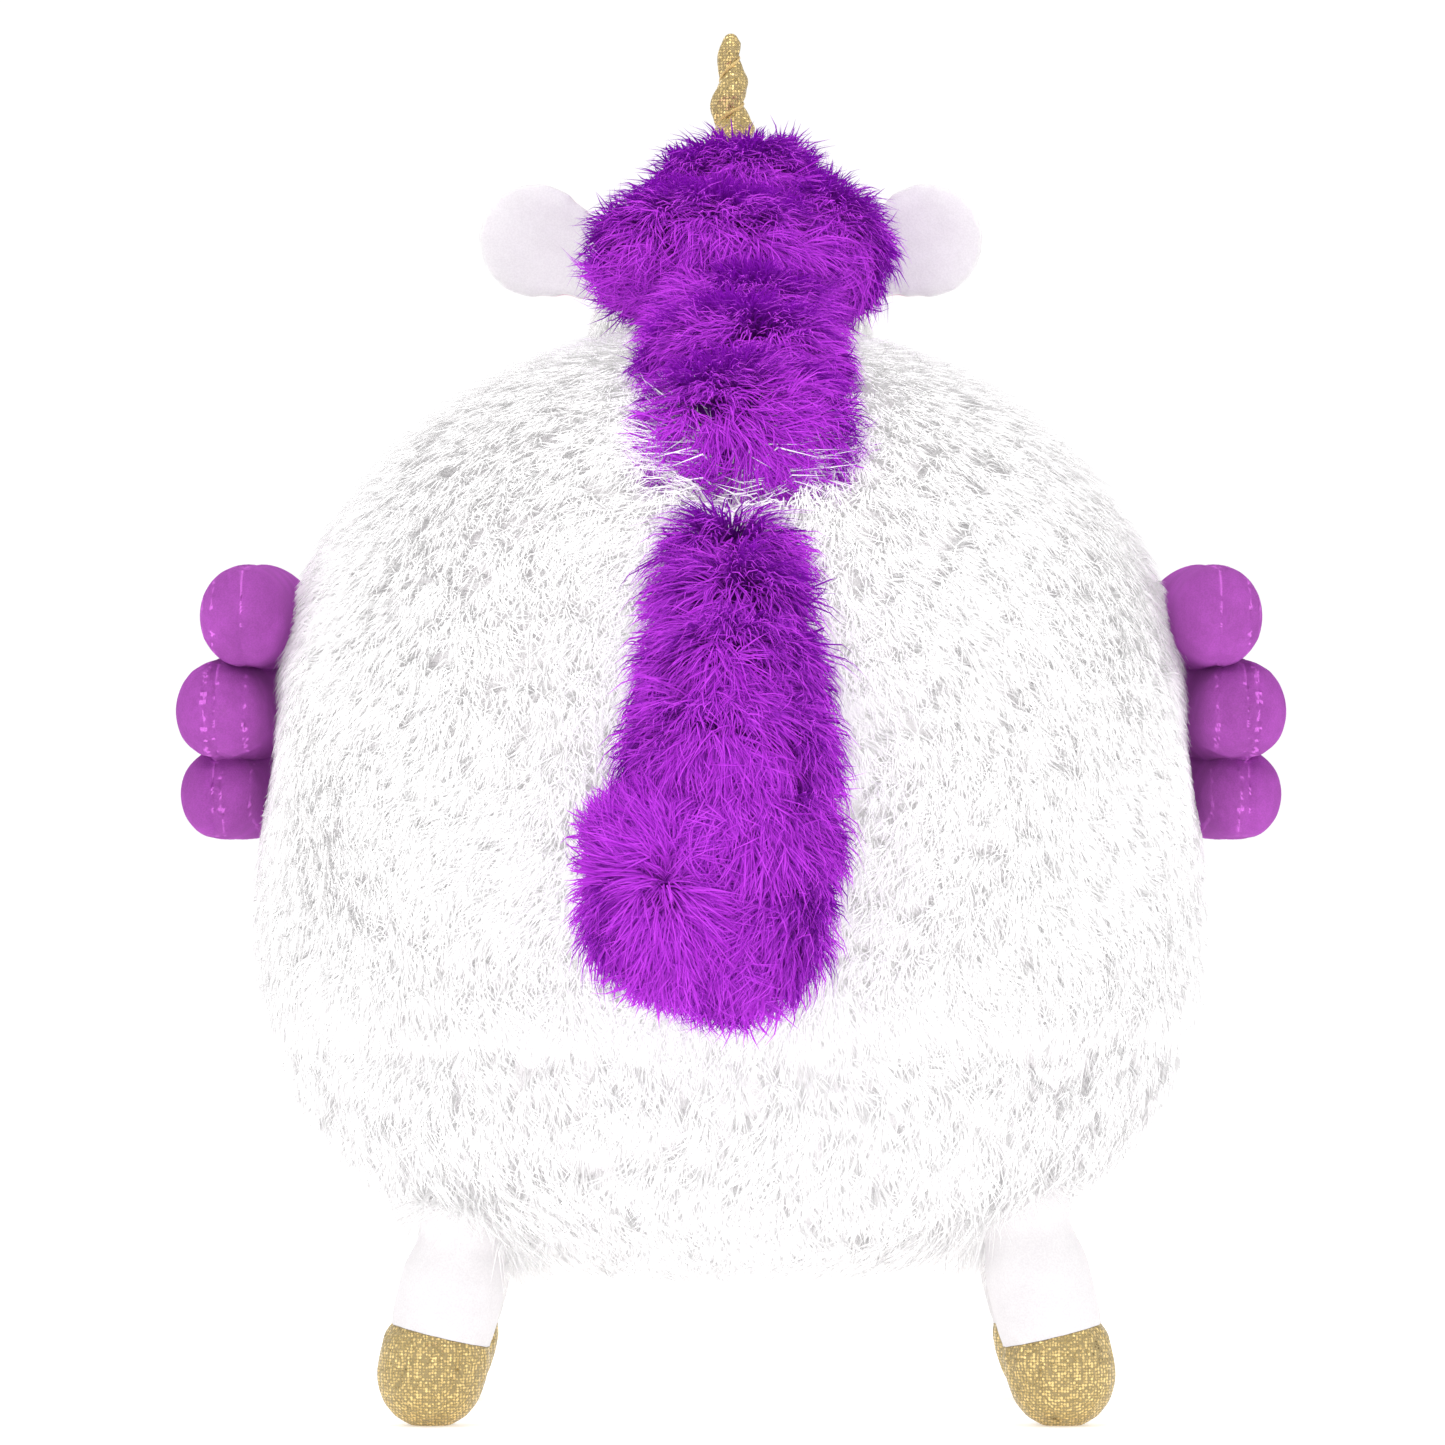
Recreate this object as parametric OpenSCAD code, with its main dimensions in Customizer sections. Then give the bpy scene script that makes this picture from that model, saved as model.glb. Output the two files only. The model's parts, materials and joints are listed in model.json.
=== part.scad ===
// Round plush unicorn: a stuffed ball with a sewn-on head, ears, horn, mane, wings, tail and four legs.
// Millimetres. The floor is Z = 0, the animal looks along -Y, and its own left side is +X.
// Sizes are those of the sewn skins. The long pile stands proud of them.

/* [Ball] */
// Width of the sewn ball
ball_w = 362; // [330:1:400]
// Height of the ball's widest level above the floor
ball_mid_z = 220; // [212:1:240]
// Height of the ball above its widest level
ball_up = 204; // [190:1:230]
// Depth of the ball below its widest level
ball_down = 155; // [140:1:162]
// How far below the widest level the belly seam runs, as an angle of the profile
belly_seam = 15; // [8:1:25]
// Thickness of the ball's plush with its backing
ball_skin = 4; // [2:0.5:6]

/* [Legs] */
// Sideways place of the rear hips
rear_hip_x = 105; // [90:1:112]
// Place of the rear hips behind the ball's centre
rear_hip_y = 72; // [60:1:80]
// Sideways place of the front hips
front_hip_x = 104; // [90:1:110]
// Place of the front hips ahead of the ball's centre
front_hip_y = 84; // [60:1:88]
// How far the stance sits towards the animal's left
stance_shift = -5; // [-6:1:6]
// Outward lean of each leg
leg_splay = 13.5; // [5:0.5:16]
// Radius of the rounded top of the leg
hip_r = 26; // [24:0.5:28]
// Radius of the leg
leg_r = 21.5; // [18:0.5:22]
// Radius of the hoof
hoof_r = 23; // [20:0.5:25]
// Height of the hoof's straight side
hoof_side = 16; // [8:1:20]
// How far the round hoof is pressed flat where it stands
hoof_press = 2.5; // [1:0.5:5]

/* [Wings] */
// Radii of the top, middle and bottom feathers
feather_r = [18.5, 18.5, 16.5]; // [12:0.5:19.5]
// Height of the top feather's middle above the ball's widest level
feather_top = 99; // [85:1:110]
// How far back each feather reaches, as an angle round the ball
feather_end = [15, 11, 6]; // [0:1:25]
// Angle round the ball, ahead of its side, at which the wing is sewn on
wing_root = 22; // [15:1:30]
// Radius of the sewn roll that the wing turns on
wing_roll_r = 6.5; // [4:0.5:8]

/* [Tail] */
// Elevation of the tail's root on the back of the ball
tail_root = 34; // [28:1:38]
// Radius of the tail's rounded root
dock_r = 17; // [12:0.5:19]
// Radii of the tail's swells, from its root to its end
tail_r = [18, 22.5, 26, 26.5, 24]; // [15:0.5:28]
// Angle between the swells, seen from the ball's centre
tail_step = 7.6; // [6.5:0.1:8.5]
// Radii of the two swells of the curled-up end
curl_r = [20, 17]; // [14:0.5:22]

/* [Head] */
// Height of the head's axis above the ball's top, over the neck
head_rise = 12; // [8:1:20]
// Place of the head's reference point ahead of the ball's centre
head_y = 50; // [40:1:55]
// Slope of the head's axis below the level
head_slope = 26; // [20:1:35]
// Largest radius of the head
head_r = 50; // [44:1:56]
// Length of the head behind its widest place
head_back = 116; // [100:1:125]
// Length of the head ahead of its widest place
head_front = 146; // [120:1:150]
// Thickness of the head's plush with its backing
head_skin = 3; // [2:0.5:5]
// Radius of the eye
eye_r = 8; // [5:0.5:10]

/* [Ears] */
// Width of the ear where it is sewn on
ear_root_w = 27; // [20:1:32]
// Radius of the ear's round outer end
ear_r = 24; // [18:1:28]
// Distance of the round end's middle from the root
ear_reach = 37; // [30:1:44]
// Thickness of the ear
ear_t = 8; // [5:0.5:10]
// Upward lean of the ear
ear_lift = 20; // [10:1:30]

/* [Horn] */
// Length of the horn
horn_len = 79; // [60:1:90]
// Radius of the horn at its base
horn_base_r = 12; // [9:0.5:13]
// Radius of the horn near its tip
horn_tip_r = 3.2; // [2:0.1:5]
// Number of swells that the wound thread leaves
horn_swells = 4; // [3:1:6]
// Forward lean of the horn
horn_lean = 12; // [0:1:20]

/* [Mane] */
// Half widths of the crown, poll, nape and forelock puffs
head_puff_w = [25, 18, 34, 20]; // [14:1:38]
// Radii of the crown, poll, nape and forelock puffs
head_puff_r = [17, 17.5, 18.5, 15]; // [12:0.5:20]
// Elevations of the three puffs on the ball
back_puff_at = [77, 65, 53]; // [50:1:80]
// Half widths of the three puffs on the ball
back_puff_w = [27, 29, 30]; // [20:1:36]
// Radii of the three puffs on the ball
back_puff_r = [18.5, 19, 20]; // [15:0.5:20]

/* [Sewing] */
// Thickness of the minky and foil covers
cover_t = 1.8; // [1:0.1:3]
// Gap between a moving part and what it turns against
gap = 0.5; // [0.3:0.1:1]
// Gap between the wings or tail and the ball's skin
rest_gap = 2; // [1:0.5:4]
// Step where a round end meets the tube that it closes
end_step = 0.4; // [0.2:0.1:0.8]

/* [Hidden] */
SIDES = ["left", "right"];
$fn = 48;
WHITE = [0.97, 0.96, 0.97];
PURPLE = [0.55, 0.14, 0.70];
MAUVE = [0.66, 0.35, 0.71];
GOLD = [0.83, 0.68, 0.44];
PINK = [0.94, 0.78, 0.86];
FILL = [0.93, 0.93, 0.90];

// The ball is a superellipse turned about Z, rounder above its widest level than below it.
EXP_UP = 2.3;
EXP_DOWN = 2.7;
STEP = 7.5;
ball_r = ball_w / 2;
ball_top_z = ball_mid_z + ball_up;
far = 1000;

function exponent(t) = t < 0 ? EXP_DOWN : EXP_UP;
function depth(t) = t < 0 ? ball_down : ball_up;
function power(v, p) = v <= 0 ? 0 : pow(v, p);
function profile_point(t, grow) = [
    (ball_r + grow) * power(cos(t), 2 / exponent(t)),
    ball_mid_z + sign(t) * (depth(t) + grow) * power(abs(sin(t)), 2 / exponent(t))
];
function profile(from, to, grow) = [for (t = [from : STEP : to]) profile_point(t, grow)];
function reversed(list) = [for (i = [len(list) - 1 : -1 : 0]) list[i]];

// Radius of the skin at a height above the widest level, and the skin's height under the widest level at a radius
function skin_r(rise) = ball_r * pow(1 - pow(rise / ball_up, EXP_UP), 1 / EXP_UP);
function skin_drop(r) = ball_down * pow(1 - pow(r / ball_r, EXP_DOWN), 1 / EXP_DOWN);
// Distance from the ball's centre to its skin at an elevation above the level
function ray(e) = pow(pow(cos(e) / ball_r, EXP_UP) + pow(sin(e) / ball_up, EXP_UP), -1 / EXP_UP);
// A point behind the ball's centre, at an elevation and a distance
function back_point(e, d, x = 0) = [x, d * cos(e), ball_mid_z + d * sin(e)];

module ball(grow = 0) {
    rotate_extrude() polygon(profile(-90, 90, grow));
}

module ball_shell(from, to, angle = 360) {
    rotate_extrude(angle = angle)
        polygon(concat(profile(from, to, 0), reversed(profile(from, to, -ball_skin))));
}

// Legs: the pivot sits just outside the skin, so that the leg swings clear of the belly
HIP_OUT = 8;
function leg_x(side, end) = (side == "left" ? 1 : -1) * (end == "rear" ? rear_hip_x : front_hip_x) + stance_shift;
function leg_y(end) = end == "rear" ? rear_hip_y : -front_hip_y;
function skin_slope(r) = (skin_drop(r - 0.5) - skin_drop(r + 0.5));
function hip(side, end) =
    let (x = leg_x(side, end), y = leg_y(end), r = norm([x, y]), lean = atan(skin_slope(r)))
    [
        x + HIP_OUT * sin(lean) * x / r,
        y + HIP_OUT * sin(lean) * y / r,
        ball_mid_z - skin_drop(r) - HIP_OUT * cos(lean)
    ];
function leg_len(side, end) = (hip(side, end)[2] - hoof_r + end_step + hoof_press) / cos(leg_splay);

module at_hip(side, end) {
    translate(hip(side, end)) rotate([0, (side == "left" ? -1 : 1) * leg_splay, 0]) children();
}

module hip_pockets() {
    for (side = SIDES, end = ["rear", "front"]) translate(hip(side, end)) sphere(r = hip_r + gap);
}

module leg_sleeve(side, end) {
    rim = leg_len(side, end) - hoof_side;
    color(WHITE) at_hip(side, end) difference() {
        union() {
            sphere(r = hip_r);
            translate([0, 0, -rim]) cylinder(r = leg_r, h = rim);
        }
        sphere(r = hip_r - cover_t);
        translate([0, 0, -rim - 1]) cylinder(r = leg_r - cover_t, h = rim + 1);
    }
}

module leg_hoof(side, end) {
    reach = leg_len(side, end);
    color(GOLD) difference() {
        at_hip(side, end) difference() {
            translate([0, 0, -reach]) union() {
                difference() {
                    sphere(r = hoof_r - end_step);
                    translate([-far, -far, 0]) cube(2 * far);
                }
                cylinder(r = hoof_r, h = hoof_side);
            }
            translate([0, 0, -reach]) sphere(r = leg_r - cover_t - end_step);
            translate([0, 0, -reach]) cylinder(r = leg_r - cover_t, h = hoof_side + 1);
        }
        translate([-far, -far, -2 * far]) cube(2 * far);
    }
}

module leg_stuffing(side, end) {
    reach = leg_len(side, end);
    color(FILL) at_hip(side, end) union() {
        sphere(r = hip_r - cover_t);
        translate([0, 0, -reach]) cylinder(r = leg_r - cover_t, h = reach);
        translate([0, 0, -reach]) sphere(r = leg_r - cover_t - end_step);
    }
}

// Tail: a rounded root in a pocket, and swells that hang down the back clear of the skin
DOCK_OUT = 4;
DOCK_TO_TAIL = 8;
CURL_X = [20, 24];
CURL_DOWN = [39, 32];
CURL_OUT = [14, 20];
dock_at = back_point(tail_root, ray(tail_root) + DOCK_OUT);
tail_in = ray(tail_root) + rest_gap;
function swell_at(i) = back_point(tail_root - DOCK_TO_TAIL - i * tail_step, tail_in + tail_r[i]);
function curl_at(i) = back_point(tail_root - CURL_DOWN[i], tail_in + curl_r[i] + CURL_OUT[i], CURL_X[i]);

module dock_pocket() {
    translate(dock_at) sphere(r = dock_r + gap);
}

module tail_swells(inset) {
    difference() {
        union() for (i = [0 : len(tail_r) - 1]) translate(swell_at(i)) sphere(r = tail_r[i] - inset);
        translate(dock_at) sphere(r = dock_r + gap + inset);
    }
}

module tail_dock() {
    color(PURPLE) translate(dock_at) sphere(r = dock_r);
}

module tail_cover() {
    color(PURPLE) difference() {
        tail_swells(0);
        tail_swells(cover_t);
    }
}

module tail_stuffing() {
    color(FILL) tail_swells(cover_t);
}

module tail_curl() {
    color(PURPLE) difference() {
        union() for (i = [0, 1]) translate(curl_at(i)) sphere(r = curl_r[i]);
        tail_swells(0);
    }
}

// Wings: three feathers lie along the ball's side and turn outwards on a sewn upright roll.
// Each feather is a stuffed finger with a round tip, and its two panels meet on the plane through its axis.
wing_roll_at = ball_r + rest_gap + wing_roll_r;
feather_mid = feather_top - feather_r[0] - feather_r[1] - gap;
feather_z = [feather_top, feather_mid, feather_mid - feather_r[1] - feather_r[2] - gap];
function feather_at(i) = skin_r(feather_z[i] - feather_r[i] / 2) + rest_gap + feather_r[i];
function feather_half_len(i) = feather_at(i) * tan((wing_root + feather_end[i]) / 2);
function finger(r, reach) = concat([[r, 0]], [for (a = [0 : 10 : 90]) [r * cos(a), reach + r * sin(a)]]);

module on_side(side) {
    mirror([side == "left" ? 0 : 1, 0, 0]) children();
}

module at_feather(i) {
    rotate([0, 0, (feather_end[i] - wing_root) / 2])
        translate([feather_at(i), -feather_half_len(i), ball_mid_z + feather_z[i]])
        rotate([-90, 0, 0]) children();
}

module feather_panel(i, inner) {
    reach = 2 * feather_half_len(i);
    at_feather(i) rotate([0, 0, inner ? 90 : -90]) rotate_extrude(angle = 180)
        polygon(concat(finger(feather_r[i], reach), reversed(finger(feather_r[i] - cover_t, reach))));
}

module feather_fill(i) {
    at_feather(i) rotate_extrude()
        polygon(concat([[0, 0]], finger(feather_r[i] - cover_t, 2 * feather_half_len(i))));
}

module wing_cover(side, inner) {
    color(MAUVE) on_side(side) for (i = [0 : 2]) feather_panel(i, inner);
}

module wing_stuffing(side) {
    color(FILL) on_side(side) for (i = [0 : 2]) feather_fill(i);
}

// The roll is cut where the front ends of the feathers are sewn to it
module wing_roll(side) {
    color(MAUVE) on_side(side) difference() {
        rotate([0, 0, -wing_root]) translate([wing_roll_at, 0, ball_mid_z + feather_z[2]])
            cylinder(r = wing_roll_r, h = feather_z[0] - feather_z[2]);
        for (i = [0 : 2]) at_feather(i) cylinder(r = feather_r[i], h = feather_r[i]);
    }
}

// Head: an egg turned about a sloping axis, cut to sit on the ball
HEAD_EXP = 2.3;
HEAD_TAPER = 0.12;
head_at = [0, -head_y, ball_top_z + head_rise];
head_mid = 70;
function egg_r(u) = pow(max(0, 1 - pow(abs(u), HEAD_EXP)), 1 / HEAD_EXP) * (1 - HEAD_TAPER * u);
function head_radius(s) = head_r * egg_r(s < head_mid ? (s - head_mid) / head_back : (s - head_mid) / head_front);
function head_profile(inset) = [
    for (t = [-90 : 10 : 90])
        let (u = sign(t) * power(abs(sin(t)), 2 / HEAD_EXP), reach = (t < 0 ? head_back : head_front) - inset)
        [(head_r - inset) * power(cos(t), 2 / HEAD_EXP) * (1 - HEAD_TAPER * u), head_mid + u * reach]
];

// A point of the head: its place along the axis, its angle up from the left side, and its distance from the axis
function head_point(along, angle, d) = head_at + [
    d * cos(angle),
    -along * cos(head_slope) - d * sin(angle) * sin(head_slope),
    -along * sin(head_slope) + d * sin(angle) * cos(head_slope)
];

module in_head() {
    translate(head_at) rotate([90 + head_slope, 0, 0]) children();
}

module head_solid(inset = 0) {
    in_head() rotate_extrude() polygon(head_profile(inset));
}

// Horn: its rounded base turns in a pocket of the head
HORN_OUT = 3;
HORN_ALONG = -2;
HORN_PITCH = horn_len / horn_swells;
THREAD_R = 0.9;
horn_ball_r = horn_base_r + 1;
horn_at = head_point(HORN_ALONG, 90, head_radius(HORN_ALONG) + HORN_OUT);
// Radius of the horn at a distance from its tip, with a swell between each two turns of the thread
function horn_r(d) = (horn_tip_r + (horn_base_r - horn_tip_r) * d / horn_len)
    * (1 + 0.13 * cos(360 * d / HORN_PITCH + 180));

module in_horn() {
    translate(horn_at) rotate([horn_lean, 0, 0]) children();
}

module horn_solid(inset) {
    steps = 8 * horn_swells;
    outline = [for (i = [1 : steps]) let (d = i * horn_len / steps) [horn_r(d) - inset, horn_len - d]];
    in_horn() union() {
        rotate_extrude() polygon(concat([[0, 0], [0, horn_len - inset]], outline));
        sphere(r = horn_ball_r - inset);
    }
}

module horn_cover() {
    color(GOLD) difference() {
        horn_solid(0);
        horn_solid(cover_t);
    }
}

module horn_stuffing() {
    color(FILL) horn_solid(cover_t);
}

module horn_thread() {
    color(GOLD) in_horn() for (i = [1 : horn_swells - 1])
        translate([0, 0, horn_len - i * HORN_PITCH]) rotate_extrude()
            translate([horn_r(i * HORN_PITCH) + THREAD_R + 0.1, 0]) circle(r = THREAD_R);
}

// Eyes: a domed button on a stem, held by a washer inside the skin
EYE_ALONG = 112;
EYE_UP = 25;
STEM_R = 2.5;
STEM_LEN = 13;
WASHER_R = 9;
WASHER_T = 1.6;
SOCKET_GAP = 0.1;

module at_eye(side) {
    on_side(side) in_head() translate([0, 0, EYE_ALONG]) rotate([0, 0, EYE_UP])
        translate([head_radius(EYE_ALONG), 0, 0]) rotate([0, 90, 0]) children();
}

module eye_solid(side, grow = 0) {
    at_eye(side) union() {
        sphere(r = eye_r + grow);
        translate([0, 0, -STEM_LEN - grow]) cylinder(r = STEM_R + grow, h = STEM_LEN);
    }
}

module washer_solid(side) {
    at_eye(side) translate([0, 0, -STEM_LEN]) cylinder(r = WASHER_R, h = WASHER_T);
}

module eye(side) {
    color([0.05, 0.04, 0.05]) eye_solid(side);
}

module eye_washers() {
    color([0.9, 0.9, 0.88]) for (side = SIDES) difference() {
        washer_solid(side);
        eye_solid(side);
    }
}

// Stitching on the muzzle stands a little proud of the skin
STITCH_T = 0.8;
NOSTRIL_AT = [15, 10];
NOSTRIL_R = 3.5;
MOUTH_R = 17;
MOUTH_W = 1.6;

module stitch_layer() {
    difference() {
        in_head() rotate_extrude() polygon(head_profile(-STITCH_T));
        head_solid();
    }
}

module nostril_stitches() {
    color(PINK) intersection() {
        stitch_layer();
        in_head() for (x = [-NOSTRIL_AT[0], NOSTRIL_AT[0]])
            translate([x, NOSTRIL_AT[1], head_mid + head_front / 2]) cylinder(r = NOSTRIL_R, h = head_front);
    }
}

module mouth_stitch() {
    color(PINK) intersection() {
        stitch_layer();
        in_head() translate([0, 0, head_mid + head_front / 2]) difference() {
            cylinder(r = MOUTH_R, h = head_front);
            translate([0, 0, -1]) cylinder(r = MOUTH_R - MOUTH_W, h = head_front + 2);
            translate([-MOUTH_R, -MOUTH_R / 2, -1]) cube([2 * MOUTH_R, 2 * MOUTH_R, head_front + 2]);
        }
    }
}

// Mane: gathered puffs, each a barrel lying across the neck
PUFF_EXP = 2.4;
PUFF_SINK = 5;
HEAD_PUFFS = ["crown", "poll", "nape", "forelock"];
// Places of the crown, poll, nape and forelock puffs: along the head, angle, and distance from its skin
NAPE_BEHIND = 17.6;
HEAD_PUFF_AT = [
    [-38, 97, 9],
    [-42, 161, 15],
    [head_mid - head_back - NAPE_BEHIND, -41, 6.5],
    [36, 90, 7.5]
];
HEAD_PUFF_TILT = [0, 20, -6, 0];
function head_puff_place(i) = let (p = HEAD_PUFF_AT[i]) head_point(p[0], p[1], head_radius(p[0]) + p[2]);

module puff(half_w, r, tilt) {
    rotate([0, 90 + tilt, 0]) rotate_extrude() polygon([
        for (t = [-90 : 10 : 90]) [
            r * power(cos(t), 2 / PUFF_EXP),
            half_w * sign(t) * power(abs(sin(t)), 2 / PUFF_EXP)
        ]
    ]);
}

module head_puff(i, inset) {
    translate(head_puff_place(i)) puff(head_puff_w[i] - inset, head_puff_r[i] - inset, HEAD_PUFF_TILT[i]);
}

module back_puff(i, inset) {
    translate(back_point(back_puff_at[i], ray(back_puff_at[i]) + PUFF_SINK, -5))
        puff(back_puff_w[i] - inset, back_puff_r[i] - inset, 0);
}

// A puff keeps clear of the skin under it and of the puffs that it is crowded against
HEAD_PUFF_NEIGHBOURS = [[], [0], [0, 1], []];

module head_puff_core(i) {
    difference() {
        head_puff(i, cover_t);
        head_solid(-cover_t);
        for (j = HEAD_PUFF_NEIGHBOURS[i]) head_puff(j, -cover_t);
    }
}

module mane_head_puff(i) {
    color(PURPLE) difference() {
        head_puff(i, 0);
        head_solid();
        for (j = HEAD_PUFF_NEIGHBOURS[i]) head_puff(j, 0);
        head_puff_core(i);
    }
}

module back_puff_core(i) {
    difference() {
        back_puff(i, cover_t);
        ball(cover_t);
    }
}

module mane_ball_puff(i) {
    color(PURPLE) difference() {
        back_puff(i, 0);
        ball();
        back_puff_core(i);
    }
}

module mane_head_stuffing() {
    color(FILL) for (i = [0 : 3]) head_puff_core(i);
}

module mane_back_stuffing() {
    color(FILL) for (i = [0 : 2]) back_puff_core(i);
}

// What is sunk into the head's skins and stuffing
module head_fittings() {
    for (side = SIDES) eye_solid(side, SOCKET_GAP);
    translate(horn_at) sphere(r = horn_ball_r + gap);
    ball(gap);
}

module head_skin_half(side) {
    color(WHITE) difference() {
        in_head() rotate([0, 0, side == "left" ? -90 : 90]) rotate_extrude(angle = 180)
            polygon(concat(head_profile(0), reversed(head_profile(head_skin))));
        head_fittings();
    }
}

module head_stuffing() {
    color(FILL) difference() {
        head_solid(head_skin);
        head_fittings();
        for (side = SIDES) washer_solid(side);
    }
}

// Ears: two leaf-shaped layers that fold on a sewn root
EAR_ALONG = -5.6;
EAR_ANGLE = 27;
EAR_OUT = 2;
ear_at = head_point(EAR_ALONG, EAR_ANGLE, head_radius(EAR_ALONG) + ear_t / 2 + EAR_OUT);
ear_corner = [-ear_reach, ear_root_w / 2];
ear_turn = atan2(ear_corner[1], ear_corner[0]) - acos(ear_r / norm(ear_corner));
ear_outline = concat(
    [[0, ear_root_w / 2], [0, -ear_root_w / 2]],
    [for (i = [-10 : 10]) let (a = i * ear_turn / 10) [ear_reach + ear_r * cos(a), ear_r * sin(a)]]
);

module ear(side, lining) {
    color(lining ? PINK : WHITE) on_side(side) translate(ear_at) rotate([0, -ear_lift, 0])
        intersection() {
            union() {
                translate([0, ear_t / 2, 0]) rotate([90, 0, 0]) linear_extrude(ear_t) polygon(ear_outline);
                translate([0, 0, -ear_root_w / 2]) cylinder(r = ear_t / 2, h = ear_root_w);
            }
            translate([-ear_t, lining ? -ear_t : 0, -ear_r - 1]) cube([far, ear_t, 2 * ear_r + 2]);
        }
}

// Ball panels: two behind, two in front, and one under the belly seam
module ball_panel(quarter) {
    color(WHITE) difference() {
        rotate([0, 0, 90 * quarter]) ball_shell(-belly_seam, 90, 90);
        if (quarter < 2) dock_pocket();
        hip_pockets();
    }
}

module belly_panel() {
    color(WHITE) difference() {
        ball_shell(-90, -belly_seam);
        hip_pockets();
    }
}

module ball_stuffing() {
    color(FILL) difference() {
        ball(-ball_skin);
        hip_pockets();
        dock_pocket();
    }
}

ball_panel(0);  // back_panel_left
ball_panel(1);  // back_panel_right
ball_panel(3);  // front_panel_left
ball_panel(2);  // front_panel_right
belly_panel();
ball_stuffing();
mane_ball_puff(0);  // mane_withers_puff
mane_ball_puff(1);  // mane_middle_puff
mane_ball_puff(2);  // mane_back_puff
mane_back_stuffing();
head_skin_half("left");  // head_skin_left
head_skin_half("right");  // head_skin_right
head_stuffing();
eye("left");  // eye_left
eye("right");  // eye_right
eye_washers();
nostril_stitches();
mouth_stitch();
for (i = [0 : 2]) mane_head_puff(i);
mane_head_puff(3);  // mane_forelock
mane_head_stuffing();
for (side = SIDES) {
    ear(side, false);
    ear(side, true);
    wing_cover(side, false);
    wing_cover(side, true);
    wing_stuffing(side);
    wing_roll(side);
    for (end = ["rear", "front"]) {
        leg_sleeve(side, end);
        leg_hoof(side, end);
        leg_stuffing(side, end);
    }
}
horn_cover();
horn_thread();
horn_stuffing();
tail_dock();
tail_cover();
tail_stuffing();
tail_curl();
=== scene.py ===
"""A round plush unicorn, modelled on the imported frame. Metres. The animal looks along -Y, and its own left side is +X."""

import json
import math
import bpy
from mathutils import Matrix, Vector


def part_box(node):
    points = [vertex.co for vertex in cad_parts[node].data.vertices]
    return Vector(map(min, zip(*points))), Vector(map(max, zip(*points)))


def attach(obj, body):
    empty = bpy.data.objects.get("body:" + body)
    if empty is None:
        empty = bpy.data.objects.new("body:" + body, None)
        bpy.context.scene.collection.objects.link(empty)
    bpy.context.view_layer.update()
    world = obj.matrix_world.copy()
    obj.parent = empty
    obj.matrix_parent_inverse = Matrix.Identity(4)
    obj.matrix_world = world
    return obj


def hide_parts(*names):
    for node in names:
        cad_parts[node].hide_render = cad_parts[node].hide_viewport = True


bl_info = {
    "name": "Plush Unicorn",
    "version": (1, 0, 0),
    "blender": (4, 5, 0),
    "location": "View3D > Sidebar > Plush",
    "description": "Builds a round plush unicorn with real pile on its packed frame",
    "category": "Add Mesh",
}

import bmesh
import bpy
import numpy as np
from mathutils import Matrix, Vector

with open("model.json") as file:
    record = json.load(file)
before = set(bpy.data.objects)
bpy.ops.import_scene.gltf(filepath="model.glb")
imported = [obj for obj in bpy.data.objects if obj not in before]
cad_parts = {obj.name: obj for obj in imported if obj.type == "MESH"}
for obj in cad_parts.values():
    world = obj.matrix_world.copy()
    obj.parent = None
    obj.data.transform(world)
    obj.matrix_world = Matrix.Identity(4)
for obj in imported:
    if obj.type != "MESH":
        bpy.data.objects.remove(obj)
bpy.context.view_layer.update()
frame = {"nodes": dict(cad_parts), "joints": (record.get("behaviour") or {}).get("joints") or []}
JOINTS = {j["name"]: Vector(j["pos_m"]) for j in frame["joints"]}

SIDES = {"left": 1, "right": -1}
# The ball: a superellipse turned about Z, rounder above its widest level than below it
BALL_R = 0.181
BALL_MID = 0.220
BALL_UP = 0.204
BALL_DOWN = 0.155
EXP_UP = 2.3
EXP_DOWN = 2.7
BALL_SKIN = 0.004
BELLY_SEAM = 15
HIP_R = 0.026
LEG_R = 0.0215
HOOF_R = 0.023
LEG_SPLAY = math.radians(13.5)
DOCK_R = 0.017
# The head: an egg turned about a sloping axis
HEAD_AT = Vector((0, -0.050, 0.436))
HEAD_SLOPE = math.radians(26)
HEAD_R = 0.050
HEAD_MID = 0.070
HEAD_BACK = 0.116
HEAD_FRONT = 0.146
HEAD_TAPER = 0.12
HEAD_AXIS = Vector((0, -math.cos(HEAD_SLOPE), -math.sin(HEAD_SLOPE)))
HEAD_UP = Vector((0, -math.sin(HEAD_SLOPE), math.cos(HEAD_SLOPE)))
EYE_ALONG = 0.112
EYE_ANGLE = math.radians(25)
EYE_R = 0.008
EAR_ROOT_W = 0.027
EAR_R = 0.024
EAR_REACH = 0.037
EAR_T = 0.008
EAR_LIFT = math.radians(20)
HORN_LEN = 0.079
HORN_LEAN = math.radians(12)
HORN_BASE_R = 0.012
HORN_TIP_R = 0.0032
HORN_SWELLS = 4
WING_ROOT = 22
FEATHER_R = (0.0185, 0.0185, 0.0165)
FEATHER_Z = (0.099, 0.0615, 0.026)
FEATHER_END = (15, 11, 6)
# Mane puffs on the head: centre from the head's place, half width, radius, tilt
HEAD_PUFFS = {
    "crown": ((-0.004, 0.019, 0.047), 0.025, 0.017, 0),
    "poll": ((-0.032, 0.033, 0.028), 0.018, 0.0175, 20),
    "nape": ((0.007, 0.059, 0.024), 0.037, 0.0185, -6),
    "forelock": ((0.0, -0.058, 0.036), 0.020, 0.015, 0),
}
# Mane puffs on the ball: centre, half width, radius
BACK_PUFFS = {
    "withers": ((-0.005, 0.047, 0.425), 0.027, 0.0185),
    "middle": ((-0.005, 0.089, 0.411), 0.029, 0.019),
    "back": ((-0.005, 0.1255, 0.3865), 0.030, 0.020),
}
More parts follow.
